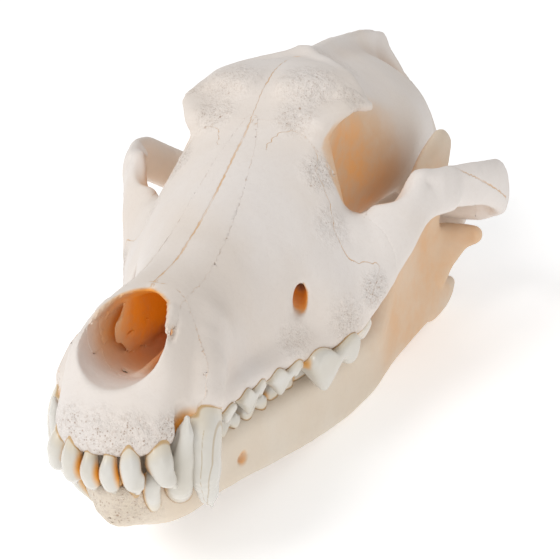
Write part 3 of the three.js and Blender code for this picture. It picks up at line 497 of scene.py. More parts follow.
NOSE_ROOF = [
    [0, -8, 33, 11, 9],
    [0, 12, 33, 11, 9],
    [0, 21, 34, 8.6, 8],
    [0, 27, 35, 5.6, 7],
    [0, 33, 37, 2, 5],
]
GUM_RIDGE = [
    [18.2, 34, 2, 3.2, 3],
    [20.2, 49, 2, 3.4, 3],
    [24.4, 65, 2, 3.6, 3],
    [31.6, 84, 2.2, 4.6, 3],
    [35.6, 101, 2.4, 4.4, 3],
    [34, 114, 3, 3.6, 2.6],
]
SOCKET_FLOOR = [[28, 112, 28, 9, 5.4], [29.5, 122, 26.4, 8, 5.6], [26, 135, 21, 6, 5]]
PALATE_SLIT = [[4.6, 13, 3, 1.8, 9], [4.8, 26, 3, 1.8, 9]]
INNER_NOSTRIL = [[0, 118, 6, 6, 5], [0, 140, 5, 9, 9], [0, 166, 3, 9, 9]]
SPINE_OPENING = [[0, 262, 33, 9.5, 8], [0, 226, 32, 9, 7.5]]
NECK_CONDYLE = ellipsoid([12, 248, 23], [7.5, 8, 9], 0, -20)
EAR_CAPSULE = ellipsoid([16.5, 208, 10], [9.5, 14, 10.5], 0, 12)
EYE_SOCKET = ellipsoid([38, 127, 49], [12.8, 15.5, 15.4], -14, 24)
SOCKET_HOLLOW = ellipsoid([39, 146, 37], [17, 24, 21], 0, -6)
JAW_MUSCLE_HOLLOW = ellipsoid([51, 170, 32], [12, 22, 26])
NASAL_SCROLL = ellipsoid([6.4, 50, 22.5], [1.1, 22, 10.5], 6, 5)
CREST_ROOT = 50

CRANIUM = [
    add(hull(CRANIUM_STATIONS), single=True),
    add(limb(CANINE_BULGE), 8),
    add(limb(BROW), 3),
    add(limb(FOREHEAD), 4),
    add(limb(TEMPORAL_LINE), 3),
    add(limb(CHEEK, CHEEK_LEAN), 8),
    add(limb(ARCH), 5),
    add(limb(JOINT_SHELF), 5),
    add(limb(JOINT_LIP), 3),
    add(crest(SAGITTAL_CREST, CREST_ROOT), 7, single=True),
    add(limb(NUCHAL_CREST, (0, 0.5, 1)), 5),
    # The condyles that meet the neck, and the ear capsules.
    add(NECK_CONDYLE, 4),
    add(limb(NECK_PROCESS, ACROSS), 4),
    add(EAR_CAPSULE, 2.5),
    add(limb(MASTOID), 5),
    add(limb(PTERYGOID), 3),
    # The eye socket and the two hollows behind it.
    carve(EYE_SOCKET, 2),
    carve(SOCKET_HOLLOW, 5),
    carve(JAW_MUSCLE_HOLLOW, 4),
    carve(limb(NERVE_OPENING), 1.2),
    carve(limb(NASAL_PASSAGE), 1.2, single=True),
    carve(limb(NOSE_ROOF), 0.8, single=True),
    carve(limb(PALATE_VAULT), 2.5, single=True),
    add(limb(GUM_RIDGE), 5),
    add(limb(SOCKET_FLOOR), 5),
    add(limb(JUGAL_EDGE, (1, 0, 0)), 3),
    add(limb(CANINE_SOCKET, ACROSS), 1.6),
    add(limb(NASAL_TIP), 1),
    carve(limb(TIP_NOTCH), 0.7),
    # The scrolls and the ridge inside the nose.
    add(NASAL_SCROLL, 1),
    add(limb(NASAL_SHELF), 1.5, single=True),
    carve(limb(CANINE_NOTCH, ACROSS), 1.5),
    carve(limb(PALATE_SLIT), 1),
    carve(limb(INNER_NOSTRIL), 2, single=True),
    carve(limb(SPINE_OPENING), 2, single=True),
]

# Lower jaw, left half

JAW_OUTLINE = [
    [2, -11], [4, -17], [11, -25.5], [21, -30.5], [40, -30.5], [70, -33.8], [95, -36], [120, -36],
    [140, -33.6], [163, -30], [182, -28], [195, -26], [201, -22], [202, -18], [193, -13], [187, -6],
    [190, 1], [192.5, 5.5], [187, 11], [186, 20], [190, 34], [190, 43.5], [181, 48.5], [173, 46],
    [164, 40], [150, 24], [138, 3], [130, -7], [112, -9], [60, -10], [34, -9], [20, -8], [8, -8],
]
# y, x, half thickness low, half thickness high.
JAW_SPREAD = [
    [2, 2, 2.6, 6.6],
    [14, 4, 4.6, 9.6],
    [28, 9, 6, 8],
    [44, 14.5, 5, 5.2],
    [70, 21.5, 4.8, 5],
    [100, 28.5, 4.8, 5.4],
    [125, 33.5, 4.2, 5],
    [145, 36, 3.6, 3.4],
    [170, 40.5, 3, 2.8],
    [200, 45, 2.6, 2.6],
]
JAW_DEPTH = 36
CORONOID_HEIGHT = 48
CORONOID_LEAN = 3
# The height over which the jaw's half thickness goes from low to high.
JAW_THICK_RISE = 30
JAW_SLOPE = 0.95
JAW_EDGE_BLEND = 7


def jaw_plate():
    edge = outline(JAW_OUTLINE)

    def at(x, y, z):
        middle, low, high = (read_stations(JAW_SPREAD, y, k) for k in (1, 2, 3))
        lean = np.clip(z / CORONOID_HEIGHT, 0, 1) * CORONOID_LEAN
        thick = mix(low, high, np.clip((z + JAW_DEPTH) / JAW_THICK_RISE, 0, 1))
        side = (np.abs(x - middle - lean) - thick) * JAW_SLOPE
        return smooth_max(side, edge(y, z), JAW_EDGE_BLEND)

    return Form(at, [-4, 0, -JAW_DEPTH], [54, 204, CORONOID_HEIGHT + 2])


JOINT_ROLLER = [[36, 192, 3.2, 3.2, 3.2], [46, 193, 4.4, 3.9, 3.9], [57, 190.5, 5.6, 3.2, 3.2]]
CORNER_HOOK = [[42.5, 182, -22, 2.4, 5], [44, 193, -20.5, 2.4, 5], [45.5, 202, -18.5, 1.8, 2.2]]
RAMUS_EDGE = [[34, 130, -14, 3.4, 3], [36.5, 143, 3, 2.6, 2.4], [38.5, 155, 24, 2, 2.2]]
JOINT_BUTTRESS = [[44, 184, -8, 3, 6], [48, 188, -2, 3.4, 5], [54, 190.5, 4, 3, 3.4]]
CHIN = ellipsoid([0, 12, -17], [5.6, 8.8, 9.2], -30)
CHEWING_HOLLOW = ellipsoid([53.5, 168, 2], [11, 20, 22], 30, 0)
# Below the second premolar.
JAW_NERVE_OPENING = ellipsoid([21.4, 47, -21.4], [3.4, 2.4, 1.3], 20)

JAW = [
    add(jaw_plate(), single=True),
    *[add(limb(rows), 4, True) for rows in (JOINT_ROLLER, CORNER_HOOK, RAMUS_EDGE, JOINT_BUTTRESS)],
    add(CHIN, 4, True),
    carve(CHEWING_HOLLOW, 4, True),
    carve(JAW_NERVE_OPENING, 0.6, True),
]

# Teeth of the left side

ROOT_DEPTH = 5.5
# How much thinner a crown is at its tip, how late it thins, and how round its edges are.
CROWN_TAPER = 0.72
TAPER_POWER = 1.3
CROWN_BLEND = 0.28


def blade_tooth(at, turn, rise, wide, rim, tall, lean=0.0):
    """A crown cut to a side view rim of points along the tooth and out of the gum."""
    c, s = math.cos(turn), math.sin(turn)
    edge = outline(rim, 3)

    def field(x, y, z):
        dx, dy, h = x - at[0], y - at[1], (z - at[2]) * rise
        along, side = dx * s + dy * c, dx * c - dy * s - lean * h
        thick = wide / 2 * (1 - CROWN_TAPER * np.clip(h / tall, 0, 1) ** TAPER_POWER)
        return smooth_max(np.abs(side) - thick, edge(along, h + 0 * along), wide * CROWN_BLEND)

    reach = max(abs(p[0]) for p in rim) + 1
    up, down = max(p[1] for p in rim), min(p[1] for p in rim)
    ends = sorted((at[2] + up * rise, at[2] + down * rise))
    out = reach * abs(s) + wide + abs(lean) * tall
    return Form(field, [at[0] - out, at[1] - reach, ends[0]], [at[0] + out, at[1] + reach, ends[1]])


def rooted(at, turn, rise, wide, long, shares):
    """Two or more roots that taper into the bone."""
    c, s = math.cos(turn), math.sin(turn)
    forms = []
    for share, size in shares:
        x, y = at[0] + share * long * s, at[1] + share * long * c
        top = [x - 1.1, y, at[2] - 0.4 * rise, wide * 0.34, long * size]
        end = [x - 4.2, y, at[2] - ROOT_DEPTH * rise, wide * 0.2, long * size * 0.5]
        forms.append(limb([top, end], ACROSS, 2))
    return forms


PREMOLAR_RIM = [
    (-0.5, 0.06), (-0.47, 0.2), (-0.33, 0.48), (-0.17, 0.88), (-0.1, 1.0), (-0.01, 0.82), (0.1, 0.5),
    (0.19, 0.38), (0.27, 0.45), (0.33, 0.46), (0.41, 0.26), (0.48, 0.2), (0.5, 0.04), (0.44, -0.22),
    (0.3, -0.34), (0.14, -0.16), (0.02, 0.02), (-0.1, -0.16), (-0.28, -0.34), (-0.43, -0.22),
]
CARNASSIAL_RIM = [
    (-0.5, 0.05), (-0.47, 0.25), (-0.36, 0.55), (-0.22, 0.9), (-0.14, 1.0), (-0.04, 0.84), (0.08, 0.5),
    (0.15, 0.36), (0.24, 0.52), (0.36, 0.62), (0.46, 0.52), (0.5, 0.2), (0.49, -0.02), (0.42, -0.18),
    (0.28, -0.24), (0.12, -0.1), (0.02, 0.04), (-0.1, -0.1), (-0.28, -0.24), (-0.44, -0.16),
]
LOWER_CARNASSIAL_RIM = [
    (-0.5, 0.05), (-0.47, 0.4), (-0.37, 0.78), (-0.31, 0.8), (-0.2, 0.55), (-0.15, 0.5), (-0.08, 0.8),
    (0.0, 1.0), (0.08, 0.85), (0.17, 0.5), (0.27, 0.46), (0.36, 0.52), (0.45, 0.36), (0.5, 0.1),
    (0.46, -0.16), (0.3, -0.26), (0.1, -0.1), (0.0, 0.02), (-0.12, -0.12), (-0.3, -0.26), (-0.46, -0.14),
]
PEG_RIM = [
    (-0.5, 0.1), (-0.42, 0.42), (-0.2, 0.86), (-0.08, 1.0), (0.08, 0.86), (0.3, 0.5), (0.5, 0.3),
    (0.46, -0.1), (0.2, -0.3), (-0.25, -0.3), (-0.46, -0.1),
]
MOLAR_RIM = [
    (-0.5, 0.1), (-0.46, 0.6), (-0.3, 1.0), (-0.12, 0.66), (0.04, 0.56), (0.22, 0.86), (0.34, 0.8),
    (0.48, 0.4), (0.5, 0.05), (0.4, -0.3), (0.2, -0.36), (0.02, -0.1), (-0.2, -0.36), (-0.42, -0.28),
]
RIMS = {
    "peg": PEG_RIM,
    "premolar": PREMOLAR_RIM,
    "carnassial": CARNASSIAL_RIM,
    "lower_carnassial": LOWER_CARNASSIAL_RIM,
    "molar": MOLAR_RIM,
}


def cheek_tooth(kind, at, long, wide, turn, tall, rise, lean=0.0, inner=None):
    """An inner shelf is [side, along, half width, half length, height]."""
    rim = [(u * long, h * tall) for u, h in RIMS[kind]]
    crown = blade_tooth(at, turn, rise, wide, rim, tall, lean)
    shares = [(0, 0.3)] if kind == "peg" else [(-0.28, 0.15), (0.28, 0.15)]
    strokes = [add(crown, 0.5, True)]
    strokes += [add(form, 1.2, True) for form in rooted(at, turn, rise, wide, long, shares)]
    if inner:
        side, along, half_wide, half_long, height = inner
        c, s = math.cos(turn), math.sin(turn)
        centre = [at[0] - side * c + along * s, at[1] + side * s + along * c, at[2] + 0.2 * rise]
        strokes.append(add(ellipsoid(centre, [half_wide, half_long, height]), 2, True))
    return strokes


def front_tooth(rows, lobes=()):
    """A curved cone through rows [x, y, z, half width, half depth], with side lobes."""
    strokes = [add(limb(rows, ACROSS, 5), 1, True)]
    strokes += [add(limb(lobe, ACROSS, 3), 1.4, True) for lobe in lobes]
    return strokes


def lobe(x, y, z, wide, drop=3.0):
    return [[x, y, z, wide, wide * 0.9], [x, y + 0.7, z - drop, wide * 0.45, wide * 0.4]]


UPPER_INCISORS = [
    front_tooth(
        [[2.6, 7, 8, 2, 2.4], [2.75, 1.8, -0.4, 1.7, 2.4], [2.75, -0.2, -4.6, 2.5, 2.6],
         [2.8, 0.2, -8, 2.1, 1.8], [2.9, 1.6, -10.8, 0.9, 0.7]],
        [lobe(1.4, 0.4, -6.2, 0.9), lobe(4.2, 0.4, -6, 0.9)],
    ),
    front_tooth(
        [[7.4, 8, 9, 2.2, 2.6], [8.0, 3.6, 3.2, 1.7, 2.6], [8.4, 1.2, -2.6, 2.8, 2.8],
         [8.7, 1.2, -7, 2.5, 2.1], [9.2, 2.8, -10.6, 1.0, 0.8]],
        [lobe(6.4, 1.6, -5.4, 1.0), lobe(10.6, 2.0, -5.6, 1.2, 3.4)],
    ),
    front_tooth(
        [[12, 12, 8, 2.8, 2.8], [13.4, 7.8, 1.6, 3.0, 3.2], [14.4, 6, -2.4, 3.6, 3.5],
         [15.6, 6.2, -6.6, 2.8, 2.7], [17.2, 8.4, -10.6, 0.9, 0.8]],
        [lobe(11.9, 5.6, -3.4, 1.3, 3.2)],
    ),
]
UPPER_CANINE = front_tooth(
    [[15, 36, 18, 3.8, 5.4], [18.6, 25, 8, 4.7, 6.4], [20.2, 20.6, 1, 5.0, 6.6],
     [20.8, 19.2, -9, 4.5, 5.6], [20.7, 21, -17.5, 3.0, 3.6], [19.9, 25, -25, 0.5, 0.6]],
)
LOWER_FRONT = [
    front_tooth(
        [[2.4, 9, -18, 1.6, 2], [2.3, 5.4, -12, 1.7, 2.2],
         [2.3, 4.4, -9, 2.1, 2], [2.3, 4.8, -6, 1.4, 0.8]],
    ),
    front_tooth(
        [[5.4, 10, -18, 1.8, 2.2], [6.2, 6.6, -12, 2, 2.4],
         [6.6, 5.6, -8.6, 2.4, 2.1], [6.7, 5.8, -5, 1.6, 0.9]],
    ),
    front_tooth(
        [[8.6, 12, -19, 2.2, 2.4], [10.4, 8.4, -13.4, 2.3, 2.6],
         [11.2, 7, -9.6, 2.6, 2.3], [11.4, 7.6, -6, 1.7, 1]],
    ),
]
# The lower canine's front face has split away above the root.
CANINE_SPLIT = [[14.4, 8.6, -2, 2.4, 2.8], [16.6, 9.6, 3, 1.8, 2.2], [17.8, 10, 9, 1.4, 1.8]]
LOWER_CANINE = [
    *front_tooth(
        [[10.5, 24, -21, 4, 4], [15.2, 14.4, -13, 4.2, 3.6], [16.8, 12.8, -6, 3.9, 3],
         [18.6, 12.6, 2, 2.6, 2], [19.6, 13, 7.4, 0.8, 0.7]],
    ),
    carve(limb(CANINE_SPLIT, ACROSS), 0.4, True),
]
UPPER_CHEEK = [
    cheek_tooth("peg", [20.6, 36, -0.4], 6.6, 4.4, 0.1, 4.6, -1),
    cheek_tooth("premolar", [22.4, 49, -0.4], 13, 5, 0.14, 7.2, -1),
    cheek_tooth("premolar", [26.6, 65, -0.4], 15.5, 5.6, 0.28, 7.8, -1),
    cheek_tooth("carnassial", [34.6, 84.5, -0.4], 25, 8.5, 0.3, 13, -1, 0.04, [5, -9, 4, 4, 4]),
    cheek_tooth("molar", [37.4, 103, -0.4], 14.5, 6.5, 0.1, 6.5, -1, 0.0, [5, 0.5, 6.6, 6, 3.4]),
    cheek_tooth("molar", [33.4, 112.4, -0.4], 8.4, 4.8, 0, 4, -1, 0.0, [3.4, 0, 4.6, 3.8, 2.6]),
]
LOWER_CHEEK = [
    cheek_tooth("peg", [14, 33, -9.3], 5.5, 3.6, 0.15, 4, 1),
    cheek_tooth("premolar", [16.6, 43, -9.3], 11.5, 4.8, 0.2, 7, 1),
    cheek_tooth("premolar", [18.8, 57, -9.8], 13, 5.2, 0.22, 8, 1),
    cheek_tooth("premolar", [21.2, 71.5, -9.8], 14.5, 5.4, 0.24, 9, 1),
    cheek_tooth("lower_carnassial", [24.6, 92, -10.2], 27, 7, 0.25, 9.4, 1, -0.1),
    cheek_tooth("molar", [29.2, 111.5, -8.8], 11, 7, 0.2, 4.2, 1),
    cheek_tooth("peg", [31.6, 120.5, -8], 5, 4.6, 0.2, 3, 1),
]


# Seams between the bones

# Half the gap at a seam: below zero, so the pieces overlap a little and no gap shows.
SEAM_HALF = -0.12
NASAL_SEAM = [[19, 12.7], [24, 12.3], [32, 10.6], [60, 9.4], [92, 6.6], [114, 1.6], [116, -2]]
NASAL_UNDERSIDE = [[10, 18], [50, 21], [66, 31], [84, 42], [120, 58]]
INCISOR_SEAM = [[12.6, -8], [13, 3], [20.3, 12], [36.5, 33], [60, 64]]
FACE_SEAM = [[-40, 120.6], [9, 120.6], [20, 113], [120, 113]]
CHEEK_SEAM = 37.6
ARCH_SEAM = 58.1
CAPSULE_SEAM = 10.1
# The y ends of the nasal bones, then the boxes of the cheekbone and of the ear capsule.
NASAL_ENDS = (20, 114.3)
CHEEK_ENDS = (112, 212)
CHEEK_HEIGHTS = (-5, 53)
CAPSULE_SIDES = (4, 28)
CAPSULE_ENDS = (190, 226)


def wave(a, b, size=0.3):
    return size * (np.sin(a * 1.3 + b * 0.7) + 0.6 * np.sin(a * 3.1 - b * 1.9 + 1))


def nasal_region(x, y, z):
    side = np.abs(x) - read_stations(NASAL_SEAM, y, 1) + wave(y, z, 0.12)
    under = read_stations(NASAL_UNDERSIDE, y, 1) - z
    return np.maximum(np.maximum(side, under), beyond(y, NASAL_ENDS))


def incisor_region(x, y, z):
    """Below zero in front of a seam given by [y, z]."""
    at = np.array(INCISOR_SEAM, float)
    seam = np.interp(z, at[:, 1], at[:, 0])
    slope = np.interp(z, [-8, 3, 3.01, 12, 12.01, 64], [1, 1, 0.78, 0.78, 0.8, 0.8])
    return (y - seam + wave(z, x, 0.15)) * slope


def face_region(x, y, z):
    """Below zero in front of the seam between the upper jaw and the braincase."""
    at = np.array(FACE_SEAM, float)
    outer = np.interp(np.abs(x), [26, 30], [113, 121.4])
    return y - np.maximum(np.interp(z, at[:, 0], at[:, 1]), outer)


def cheek_region(x, y, z):
    ax = np.abs(x)
    seam = np.interp(y, [150, 154, 174, 178], [CHEEK_SEAM, 45, 45, ARCH_SEAM])
    side = seam - ax + wave(y, z, 0.12)
    return np.maximum(side, np.maximum(beyond(y, CHEEK_ENDS), beyond(z, CHEEK_HEIGHTS)))


def capsule_region(x, y, z):
    across = np.maximum(beyond(np.abs(x), CAPSULE_SIDES), beyond(y, CAPSULE_ENDS))
    return np.maximum(across, z - CAPSULE_SEAM)


def inside(region):
    return lambda x, y, z: region(x, y, z) + SEAM_HALF


def outside(region):
    return lambda x, y, z: SEAM_HALF - region(x, y, z)


def all_of(*regions):
    def at(x, y, z):
        value = regions[0](x, y, z)
        for region in regions[1:]:
            value = np.maximum(value, region(x, y, z))
        return value

    return at


def side_of(sign):
    return lambda x, y, z: -x * sign + 0 * (y + z)


# Meshes

EVENING = 0.35
# How near a cut a point is drawn onto it, and the longest step, in cells.
CREASE_REACH = 0.7
CREASE_STEP = 0.5
CREASE_ROUNDS = 4
# The steps that slopes are read over: in cells on the grid, in millimetres on a cut.
GRID_STEP = 0.4
CUT_STEP = 0.05
# How far from parallel a cut and the surface have to be.
LEAST_ANGLE = 0.2
# Points along each side of the table of random values.
LATTICE = 32
# Height in millimetres, wavelength and seed.
SWELLS = [(0.16, 9, 1), (0.07, 4.1, 2)]
ROUGHNESS = [(0.2, 1.7, 3), (0.12, 0.9, 4)]
SHARP_ANGLE = math.radians(42)


def largest_part(points, quads):
    """Keeps the biggest connected piece."""
    label = np.arange(len(points))
    while True:
        low = label[quads].min(1)
        new = label.copy()
        for k in range(4):
            np.minimum.at(new, quads[:, k], low)
        new = new[new]
        if np.array_equal(new, label):
            break
        label = new
    names, counts = np.unique(label[quads[:, 0]], return_counts=True)
    kept = quads[label[quads[:, 0]] == names[counts.argmax()]]
    used = np.unique(kept)
    number = np.full(len(points), -1)
    number[used] = np.arange(len(used))
    return points[used], number[kept]


def relaxed(points, quads):
    """Evens the points out over the surface."""
    total = np.zeros_like(points)
    hits = np.zeros(len(points))
    for a, b in ((0, 1), (1, 2), (2, 3), (3, 0)):
        for i, j in ((a, b), (b, a)):
            np.add.at(total, quads[:, i], points[quads[:, j]])
            np.add.at(hits, quads[:, i], 1)
    return mix(points, total / hits[:, None], EVENING)


def normals_of(points, quads):
    a, b, c, d = (points[quads[:, k]] for k in range(4))
    face = np.cross(c - a, d - b)
    total = np.zeros_like(points)
    for k in range(4):
        np.add.at(total, quads[:, k], face)
    return total / np.maximum(np.linalg.norm(total, axis=1), 1e-9)[:, None]


def read_slope(read, points, step):
    """The slope of a function of points, by small steps."""
    return np.stack([(read(points + e) - read(points - e)) / (2 * step) for e in np.eye(3) * step], 1)


def creased(points, grid, region):
    """Moves the points beside a cut onto the line where it meets the surface."""

    def cut(p):
        return region(*p.T)

    reach = CREASE_REACH * grid.cell
    for _ in range(CREASE_ROUNDS):
        f, r = grid.read(points), cut(points)
        near = (np.abs(f) < reach) & (np.abs(r) < reach)
        p = points[near]
        a, b = read_slope(grid.read, p, GRID_STEP * grid.cell), read_slope(cut, p, CUT_STEP)
        aa, bb, ab = (a * a).sum(1), (b * b).sum(1), (a * b).sum(1)
        whole = aa * bb - ab * ab
        good = whole > LEAST_ANGLE * aa * bb
        u = (-f[near] * bb + r[near] * ab) / np.where(good, whole, 1)
        v = (-r[near] * aa + f[near] * ab) / np.where(good, whole, 1)
        move = (u[:, None] * a + v[:, None] * b) * good[:, None]
        size = np.linalg.norm(move, axis=1, keepdims=True)
        points[near] = p + move * np.minimum(1, CREASE_STEP * grid.cell / np.maximum(size, 1e-9))
    return points


def lattice_noise(points, wavelength, seed):
    """Smooth random values from -1 to 1 over space."""
    table = np.random.RandomState(seed).uniform(-1, 1, (LATTICE,) * 3)
    at = points / wavelength
    base = np.floor(at).astype(int)
    t = at - base
    t = t * t * (3 - 2 * t)
    total = np.zeros(len(points))
    for corner in np.ndindex(2, 2, 2):
        c = np.array(corner)
        share = np.prod(np.where(c == 1, t, 1 - t), axis=1)
        i, j, k = ((base + c) % LATTICE).T
        total += share * table[i, j, k]
    return total


def weathered(points, normals, pore):
    """Low swells over the whole bone, and a rough skin where it is porous."""
    swell = sum(height * lattice_noise(points, *rest) for height, *rest in SWELLS)
    rough = sum(height * lattice_noise(points, *rest) for height, *rest in ROUGHNESS)
    return points + normals * (swell + rough * (0.12 + 1.7 * pore))[:, None]


def rested(points):
    x, y, z = points.T
    c, s = math.cos(REST_PITCH), math.sin(REST_PITCH)
    leant = np.stack([x, y * c + z * s, z * c - y * s], 1)
    return (leant + REST_SHIFT) / 1000


def piece(name, points, quads, material, slot, nodes, **values):
    """Makes the Blender object, with a value at each point for each named attribute."""
    placed = rested(points)
    placed[:, 2] = np.maximum(placed[:, 2], 0)
    mesh = bpy.data.meshes.new(name)
    mesh.from_pydata(placed.tolist(), [], quads.tolist())
    for key, value in values.items():
        mesh.attributes.new(key, "FLOAT", "POINT").data.foreach_set("value", value.astype(np.float32))
    mesh.shade_smooth()
    mesh.set_sharp_from_angle(angle=SHARP_ANGLE)
    mesh.materials.append(material)
    made = bpy.data.objects.new(name, mesh)
    bpy.context.scene.collection.objects.link(made)
    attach(made, "root")
    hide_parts(*nodes)


# Values the materials read


def polyline_distance(points, normals, line):
    """Distance from points to a line, with a sign for its side."""
    best = np.full(len(points), FAR)
    sign = np.ones(len(points))
    last = len(line) - 2
    for i, (a, b) in enumerate(zip(line[:-1], line[1:])):
        e = b - a
        raw = (points - a) @ e / (e @ e)
        t = np.clip(raw, 0, 1)
        away = points - a - t[:, None] * e
        far = np.linalg.norm(away, axis=1)
        turn = np.sign(np.einsum("ij,ij->i", np.cross(e, away), normals))
        beyond = ((raw < 0) & (i == 0)) | ((raw > 1) & (i == last))
        turn[beyond | (turn == 0)] = 1
        nearer = far < best
        best[nearer] = far[nearer]
        sign[nearer] = turn[nearer]
    return best * sign, best


# The distance kept where no line is near.
NO_LINE = 9.0
LINE_REACH = 3
LINE_STEPS = 6
# Where in front of a point the filled share is read, as a share of the reach.
PROBE_SHARE = 0.8


class Lines:
    """The nearest seam to each point: a signed distance that crosses zero on it, and a plain one."""

    def __init__(self, points, normals):
        self.points, self.normals = points, normals
        self.line = np.full(len(points), NO_LINE)
        self.near = np.full(len(points), NO_LINE)

    def mark(self, signed, near=None):
        near = np.abs(signed) if near is None else near
        nearer = near < self.near
        self.line[nearer] = signed[nearer]
        self.near[nearer] = near[nearer]

    def draw(self, rows, paired, fine):
        """Fine is 1 for a hairline, and less for a bolder, smoother line."""
        line = curve_through(rows, (len(rows) - 1) * LINE_STEPS)
        for side in (1, -1) if paired else (1,):
            placed = line * [side, 1, 1]
            low, high = placed.min(0) - LINE_REACH, placed.max(0) + LINE_REACH
            reach = np.all((self.points > low) & (self.points < high), axis=1)
            if not reach.any():
                continue
            p = self.points[reach]
            signed, near = polyline_distance(p, self.normals[reach], placed)
            ripple = wave(p[:, 1] * 1.4, p[:, 0] + p[:, 2], 0.2 * fine)
            full = np.full(len(self.points), NO_LINE)
            wide = full.copy()
            full[reach], wide[reach] = (signed + ripple) * fine, near
            self.mark(full, wide)


def hidden_share(grid, points, normals, reach):
    """How much of the space in front of each point is filled, over a box of the given half size."""
    solid = (grid.values < 0).astype(np.float32)
    n = max(int(round(reach / grid.cell)), 1)
    for axis in range(3):
        for _ in range(2):
            padding = [(n, n) if k == axis else (0, 0) for k in range(3)]
            total = np.cumsum(np.pad(solid, padding), axis)
            first = np.take(total, [0], axis) * 0
            total = np.concatenate([first, total], axis)
            size = solid.shape[axis]
            low_end = np.take(total, range(size), axis)
            high_end = np.take(total, range(2 * n, 2 * n + size), axis)
            solid = (high_end - low_end) / (2 * n)
    return grid.holding(solid).read(points + normals * reach * PROBE_SHARE)


# Seams drawn on the bone: points, whether on both sides, and how fine.
SUTURES = [
    # Between the two nasal bones, and on over the forehead.
    ([[0, 33, 34], [0, 60, 38], [0, 92, 52], [0, 114, 63]], False, 0.45),
    ([[0, 114, 63], [0, 135, 75], [0, 158, 77]], False, 0.8),
    # Round the upper end of the upper jaw and down in front of the eye socket.
    (
        [[8.1, 103.3, 56.4], [10, 109.1, 59.3], [12.8, 111.6, 60.2], [16.9, 112.3, 60.2],
         [20.5, 112.3, 57.9], [21.8, 112.2, 54.4], [23, 110.5, 51.1], [23.6, 107.5, 48.3],
         [25.5, 106.7, 45.4], [28.9, 104.1, 39.3], [31.6, 100.5, 32.5], [34.7, 98.9, 26.8],
         [38, 99.8, 22.8], [41.1, 103.4, 21.9], [44.2, 106.2, 20], [44.2, 104, 16.1], [44, 101, 12]],
        True, 1.4,
    ),
    # Along the cheekbone's arch.
    ([[57.2, 141.7, 43.8], [63.4, 148.9, 39.7], [68.2, 159.8, 33.6], [70.4, 177.4, 24.7]], True, 0.5),
]

# Materials

ORANGE_STAIN_AND_SHADE = (0.80, 0.33, 0.055)
PALE_STAIN_AND_SHADE = (0.74, 0.50, 0.31)
PAINTED_LIGHT_GLOW = (0.55, 0.20, 0.0)
SEAM_BROWN = (0.66, 0.36, 0.12)
GRAIN_GREY = (0.56, 0.46, 0.39)
PIT_BROWN = (0.38, 0.2, 0.1)
ENAMEL_LIGHT = (0.66, 0.635, 0.585)
ENAMEL_WARM = (0.61, 0.57, 0.495)
GAP_PAINTED_SHADE_GOLD = (0.80, 0.38, 0.04)
CRACK_BROWN = (0.42, 0.30, 0.16)
GUM_CREAM = (0.74, 0.58, 0.34)
GUM_BROWN = (0.5, 0.29, 0.09)


class Nodes:
    """Short ways to make and join a material's nodes."""

    def __init__(self, name):
        self.material = bpy.data.materials.new(name)
        self.material.use_nodes = True
        self.tree = self.material.node_tree
        self.shader = self.tree.nodes["Principled BSDF"]

    def put(self, kind, inputs=(), **settings):
        node = self.tree.nodes.new("ShaderNode" + kind)
        for key, value in settings.items():
            setattr(node, key, value)
        for socket, value in dict(inputs).items():
            self.set(node.inputs[socket], value)
        return node

    def set(self, socket, value):
        if isinstance(value, bpy.types.NodeSocket):
            self.tree.links.new(value, socket)
        elif isinstance(value, tuple) and len(value) == 3 and socket.type == "RGBA":
            socket.default_value = (*value, 1)
        else:
            socket.default_value = value

    def value(self, attribute):
        return self.put("Attribute", attribute_name=attribute).outputs["Fac"]

    def math(self, operation, a, b=0.0):
        return self.put("Math", {0: a, 1: b}, operation=operation).outputs[0]

    def times(self, a, b):
        return self.math("MULTIPLY", a, b)

    def ramp(self, value, low, high, to_low=0.0, to_high=1.0):
        sockets = {"Value": value, "From Min": low, "From Max": high, "To Min": to_low, "To Max": to_high}
        return self.put("MapRange", sockets, interpolation_type="SMOOTHSTEP").outputs["Result"]

    def blend(self, share, a, b):
        node = self.put("Mix", data_type="RGBA")
        self.set(node.inputs[0], share)
        self.set(node.inputs[6], a)
        self.set(node.inputs[7], b)
        return node.outputs[2]

    def place(self):
        return self.put("TexCoord").outputs["Object"]

    def noise(self, scale, detail=3.0, rough=0.5):
        sockets = {"Vector": self.place(), "Scale": scale, "Detail": detail, "Roughness": rough}
        return self.put("TexNoise", sockets).outputs["Fac"]

    def pits(self, scale, size, share):
        """Round dots on a share of the cells of a pattern: 1 inside a dot."""
        sockets = {"Vector": self.place(), "Scale": scale, "Randomness": 0.9}
        cells = self.put("TexVoronoi", sockets)
        chosen = self.put("SeparateColor", {0: cells.outputs["Color"]})
        dot = self.ramp(cells.outputs["Distance"], size, size * 0.45)
        return self.times(dot, self.math("LESS_THAN", chosen.outputs[0], share))

    def finish(self, colour, height, distance, strength, roughness):
        """Joins the colour and the bump, and gives the material."""
        self.set(self.shader.inputs["Base Color"], colour)
        bump = self.put("Bump", {"Height": height, "Distance": distance, "Strength": strength})
        self.set(self.shader.inputs["Normal"], bump.outputs[0])
        self.shader.inputs["Roughness"].default_value = roughness
        return self.material


